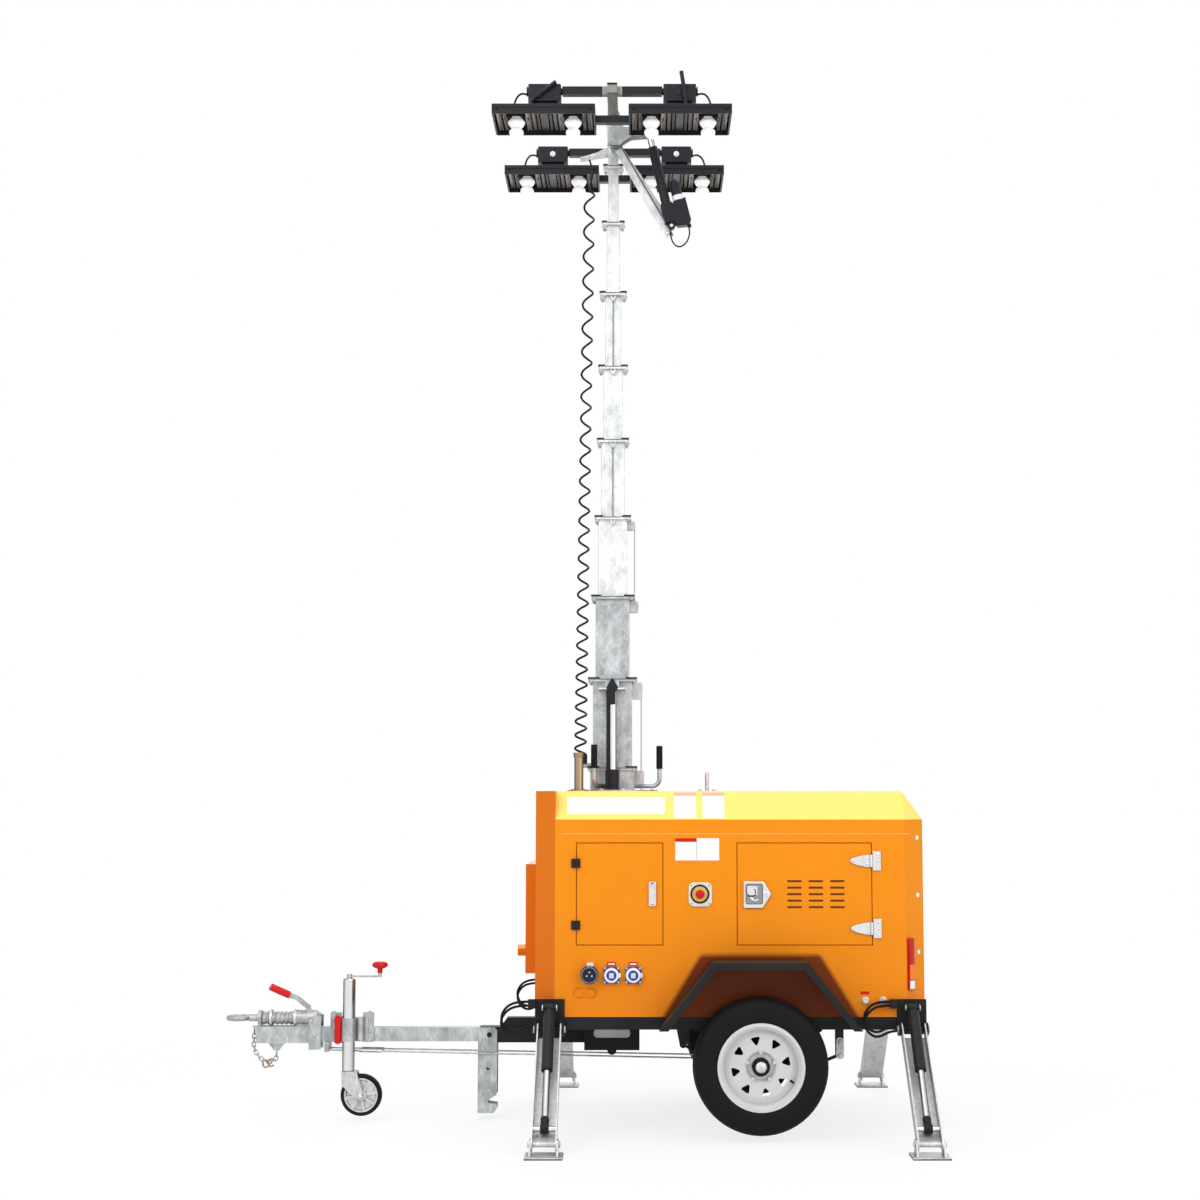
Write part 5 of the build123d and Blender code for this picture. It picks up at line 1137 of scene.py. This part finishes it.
rod = (addLathe, (ram["x"], ram["y"], 1100), up, [(0, 21.2), (992, 21.2)], 40)
buildPiece("liftRod", "chrome", "mast_1", rod)
buildPiece(
    "liftRodEye", "blackTray", "mast_1",
    (addBox, (180, -178, 1500), (195, -158, 2080)),
    (addPolygon, [(x, -182, z) for x, z in ram["eye"]], 60, inward),
    bevel=2,
)
buildPiece(
    "liftBracket", "zincBright", "mast_1",
    (addBox, (140, -178, 2084), (272, -98, 2093)),
    (addBox, (176, -181, 2096), (182, -123, 2126)),
    (addBox, (236, -181, 2096), (242, -123, 2126)),
    bevel=1,
)
grips = {"bearings": (0, -112), "reach": 233, "low": 1699, "ridges": 12, "pitch": 8.6}
profile = [(0, 11), (0, 17), (3, 17)]
for k in range(grips["ridges"]):
    for along, radius in ((6, 15.9), (9, 15.9), (10, 15.4), (12.6, 15.4)):
        profile.append((along + k * grips["pitch"], radius))
profile += [(112, 15.6), (114, 12), (114, 0)]
shapes = []
for a in map(math.radians, grips["bearings"]):
    spot = (mast["x"] + grips["reach"] * math.cos(a), grips["reach"] * math.sin(a), grips["low"])
    shapes.append((addLathe, spot, up, profile, 24))
buildPiece("handleGrips", "rubber", "mast_base", *shapes, sharp=50)
buildPiece(
    "coilSocket", "blackTray", "mast_base",
    (addBox, (24, -83, 1721), (84, -37, 1767)),
    (addTurned, (50, -60, 1766.4), up, [(0, 20), (0.3, 18)], 24),
    bevel=3,
)
shapes = []
for a in turns(12, math.pi / 12):
    spot = (mast["x"] + 205 * math.cos(a), 205 * math.sin(a), 1593)
    shapes.append((addTurned, spot, up, [(0, 9), (7, 9)], 6))
buildPiece("turntableBolts", "zincBright", "mast_base", *shapes, bevel=1)
hoop = {"x": 678, "low": 1585, "high": 1590}
x, high = hoop["x"], hoop["high"]
shapes = [(addBox, (x - 45, -60, hoop["low"]), (x + 45, 60, high))]
shapes += [(addTurned, (x + sx * 34, sy * 48, high), up, [(0, 8), (7, 8)], 6) for sx, sy in fourCorners]
buildPiece("hoopBase", "zincBright", "chassis", *shapes, bevel=1)
arch = [(x, 38 * math.cos(a), 1652 + 24 * math.sin(a)) for a in (math.pi * k / 12 for k in range(13))]
buildPiece("hoopLoop", "zincBright", "chassis", (addTube, [(x, 38, 1588), *arch, (x, -38, 1588)], 9.4, 14))
print("mast dressed")

# Lamp head: bulbs, reflector ribs, levers, bolts and the actuator's dress
head = {
    "row": 463,
    "trays": (-122, 540),
    "half": 152,
    "bulb": 139,
    "ceiling": 4884,
    "bulbShape": (
        (0, 0), (0, 20), (10, 22), (16, 30), (30, 42), (36, 43), (48, 36), (60, 25),
        (66, 26), (76, 35), (86, 36), (98, 30), (108, 20), (114, 8), (115, 0),
    ),
    "ribs": (
        (-236, -208), (-204, -184), (-94, -66), (-62, -42), (-38, -22),
        (22, 38), (42, 62), (66, 94), (184, 204), (208, 236),
    ),
    "cell": [(0, 40), (14, 44), (20, 58), (21, 60), (14, 62), (0, 62)],
    "screw": [(0, 0), (0, 7), (3, 6), (4, 0)],
    "boxBolt": [(0, 15), (3, 15), (4, 12)],
}
ceiling, half = head["ceiling"], head["half"]
for side, name in sides:
    y = side * head["row"]
    bulbs, ribs, cells, screws, frames, bolts = [], [], [], [], [], []
    for x in head["trays"]:
        for low, high in head["ribs"]:
            a, b = x + low, x + high
            outline = ((a, ceiling), (b, ceiling), (b - 3, 4862), ((a + b) / 2, 4868), (a + 3, 4862))
            ribs.append((addPolygon, [(px, y - half, pz) for px, pz in outline], 2 * half, inward))
        cells.append((addBox, (x - 18, y - half, 4858), (x + 18, y + half, ceiling)))
        for hand in (-1, 1):
            bulbX = x + hand * head["bulb"]
            bulbs.append((addLathe, (bulbX, y, ceiling), down, head["bulbShape"], 12, 0.26))
            cells.append((addLathe, (bulbX, y, ceiling), down, head["cell"], 32))
            # Painted shade: four dark rods on the diagonals round each bulb stand for the shadows in the
            # reflector's corners
            for a in turns(4, math.pi / 4):
                inner = (bulbX + 40 * math.cos(a), y + 40 * math.sin(a), 4872)
                outer = (bulbX + 76 * math.cos(a), y + 76 * math.sin(a), 4876)
                cells.append((addRod, inner, outer, 4, 8))
        for sx, sy in fourCorners:
            screws.append((addLathe, (x + sx * 225, y + sy * 159, 4866), (0, sy, 0), head["screw"], 12))
        for hand in (-1, 1):
            endX = x + hand * 247
            frames.append((addBox, (endX - 3, y - 158, 4842), (endX + 3, y + 158, 4890)))
        for hand in (-1, 1):
            edgeY = y + hand * 159
            frames.append((addBox, (x - 250, edgeY - 3, 4872), (x + 250, edgeY + 3, 4890)))
        bolts.append((addTurned, (x, y - 48, 4988), outward, head["boxBolt"], 24))
    title, body = name.capitalize(), "lamp_trays_" + name
    buildPiece("bulbs" + title, "bulb", body, *bulbs, replaces=("lamp_bulbs_" + name,), sharp=12)
    buildPiece("reflectorRibs" + title, "reflector", body, *ribs, sharp=15)
    buildPiece("lampCells" + title, "blackTray", body, *cells)
    buildPiece("trayScrews" + title, "rubber", body, *screws)
    buildPiece("trayFrames" + title, "blackTray", body, *frames, bevel=1.5)
    buildPiece("boxBolts" + title, "whitePlastic" if side > 0 else "blackTray", body, *bolts)
clamp = {"boss": [(0, 16), (10, 15), (14, 10)]}
buildPiece(
    "clampLevers", "blackTray", "lamp_trays_near",
    (addTube, [(-190, -520, 4935), (-168, -520, 4958), (-66, -526, 5036)], 10, 12),
    (addTube, [(567, -520, 4925), (568, -522, 4955), (547, -526, 5088)], 10, 12),
    (addTurned, (-150, -511, 4972), outward, clamp["boss"], 20),
    (addTurned, (566, -511, 4965), outward, clamp["boss"], 20),
)
lever = {
    "outline": (
        (180, 5030), (238, 5030), (262, 4950), (398, 4939), (404, 4906),
        (300, 4896), (262, 4872), (240, 4852), (196, 4852), (184, 4902),
    ),
    "thickness": 9.4,
}
shapes = []
for y in (-126.7, -76.7):
    shapes.append((addPolygon, [(x, y, z) for x, z in lever["outline"]], lever["thickness"], inward))
buildPiece(
    "leverPlates", "zinc", "lamp_frame", *shapes,
    (addTurned, (392, -127, 4922), outward, [(0, 14), (6, 13), (8, 8)], 6),
    (addTurned, (209, -127, 5007), outward, [(0, 18), (6, 17), (8, 11)], 24),
    bevel=1.5,
)
arm = {"top": Vector((236, 0, 4846)), "foot": Vector((496, 0, 4388)), "half": 21}
armAlong = (arm["foot"] - arm["top"]).normalized()
armAcross = Vector((armAlong.z, 0, -armAlong.x)) * arm["half"]


def armOutline(y, inner):
    # The arm's outline, from its one edge to a share of its half width
    first, second = armAcross * -1, armAcross * inner
    corners = (arm["top"] + first, arm["foot"] + first, arm["foot"] + second, arm["top"] + second)
    return [c + Vector((0, y, 0)) for c in corners]


armBolt = arm["foot"] - armAlong * 22 + Vector((0, -84, 0))
buildPiece(
    "armPlate", "zincPale", "mast_8",
    (addPolygon, armOutline(-84, 1), 3, inward),
    (addTurned, armBolt, outward, [(0, 12), (4, 11), (8, 7)], 20),
    bevel=1,
)
# Painted shade: the arm's flange has a dark finish for the shaded side of its fold
buildPiece("armFlange", "zincDark", "mast_8", (addPolygon, armOutline(-92, -0.7), 34, inward), bevel=1)
gear = {
    "outline": (
        (487, 4527), (508, 4549), (531, 4554), (574, 4587),
        (604, 4468), (595, 4441), (536, 4435), (498, 4478),
    ),
}
housing = (addPolygon, [(x, -124, z) for x, z in gear["outline"]], 54, inward)
buildPiece("gearHousing", "blackTray", "tilt_actuator", housing, bevel=5)
motor = {
    "foot": Vector((554, -97, 4513)),
    "axis": Vector((-0.228, 0, 0.974)),
    "ring": [(0, 27), (0, 28.4), (26, 28.4), (26, 27)],
    "cap": [(0, 0), (0, 24), (14, 22), (22, 16), (24, 0)],
}
ring = (addLathe, motor["foot"] + motor["axis"] * 60, motor["axis"], motor["ring"], 32)
buildPiece("motorRing", "whitePlastic", "tilt_actuator", ring)
buildPiece(
    "motorCap", "blackTray", "tilt_actuator",
    (addLathe, motor["foot"] + motor["axis"] * 148, motor["axis"], motor["cap"], 28),
    (addTurned, (595, -97, 4450), (0.25, 0, -1), [(0, 9), (14, 9), (18, 6)], 16),
)
cableArm = ((209, 4886), (181, 4834), (42, 4806), (38, 4822), (120, 4850), (181, 4884))
plate = (addPolygon, [(x, -13, z) for x, z in cableArm], 26, inward)
buildPiece("cableArm", "zincBright", "mast_8", plate, bevel=2)
print("lamp head dressed")


# Floor and backdrop, pale, with soft studio light
def seenRays(tree):
    # 1 for rays that reach the eye straight, in a mirror or through glass
    paths = tree.nodes.new("ShaderNodeLightPath")
    camera, glossy, through = (
        Value(tree, paths.outputs[f"Is {kind} Ray"]) for kind in ("Camera", "Glossy", "Transmission")
    )
    return (camera + glossy + through).clamp()


floorSet = {"half": 15.0, "thickness": 0.02, "colour": (0.9, 0.9, 0.9)}
bm = bmesh.new()
half, depth = floorSet["half"], floorSet["thickness"]
addBox(bm, (-half, -half, -depth), (half, half, 0))
floorMesh = bpy.data.meshes.new("studioFloor")
bm.to_mesh(floorMesh)
bm.free()
floor = bpy.data.objects.new("studioFloor", floorMesh)
scene.collection.objects.link(floor)
floorFinish = Finish("studioFloor")
floorFinish.set("Base Color", floorSet["colour"])
floorFinish.set("Roughness", 0.9)
away = floorFinish.node("VectorMath", {"operation": "LENGTH"}, out=1, Vector=floorFinish.place())
white = (away * 0.3 - 0.3).clamp() * 0.2 + 0.8
lit = Value(floorFinish.tree, floorFinish.shader.outputs[0])
glow = floorFinish.node("Emission", Color=(1, 1, 1), Strength=1.0)
mixed = floorFinish.node("MixShader", i0=seenRays(floorFinish.tree) * white, i1=lit, i2=glow)
plug(floorFinish.tree.nodes["Material Output"].inputs["Surface"], mixed)
floorMesh.materials.append(floorFinish.material)
floor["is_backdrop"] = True

world = bpy.data.worlds.new("studio")
scene.world = world
world.use_nodes = True
tree = world.node_tree
background = tree.nodes["Background"]
background.inputs["Color"].default_value = (1, 1, 1, 1)
plug(background.inputs["Strength"], seenRays(tree) * 0.45 + 0.55)

lamps = (
    ("keyLight", (-3.5, -6.0, 6.5), 5.0, 280.0),
    ("fillLight", (5.0, -5.5, 4.0), 5.0, 165.0),
    ("topLight", (0.2, 0.5, 8.5), 6.0, 210.0),
    ("backLight", (1.0, 6.5, 4.5), 5.0, 170.0),
)
for name, place, size, power in lamps:
    lampData = bpy.data.lights.new(name, "AREA")
    lampData.size = size
    lampData.energy = power
    lamp = bpy.data.objects.new(name, lampData)
    lamp.location = place
    aim = Vector((0.3, 0, 1.6)) - Vector(place)
    lamp.rotation_euler = aim.to_track_quat("-Z", "Y").to_euler()
    scene.collection.objects.link(lamp)
print("studio lit")

low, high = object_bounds()
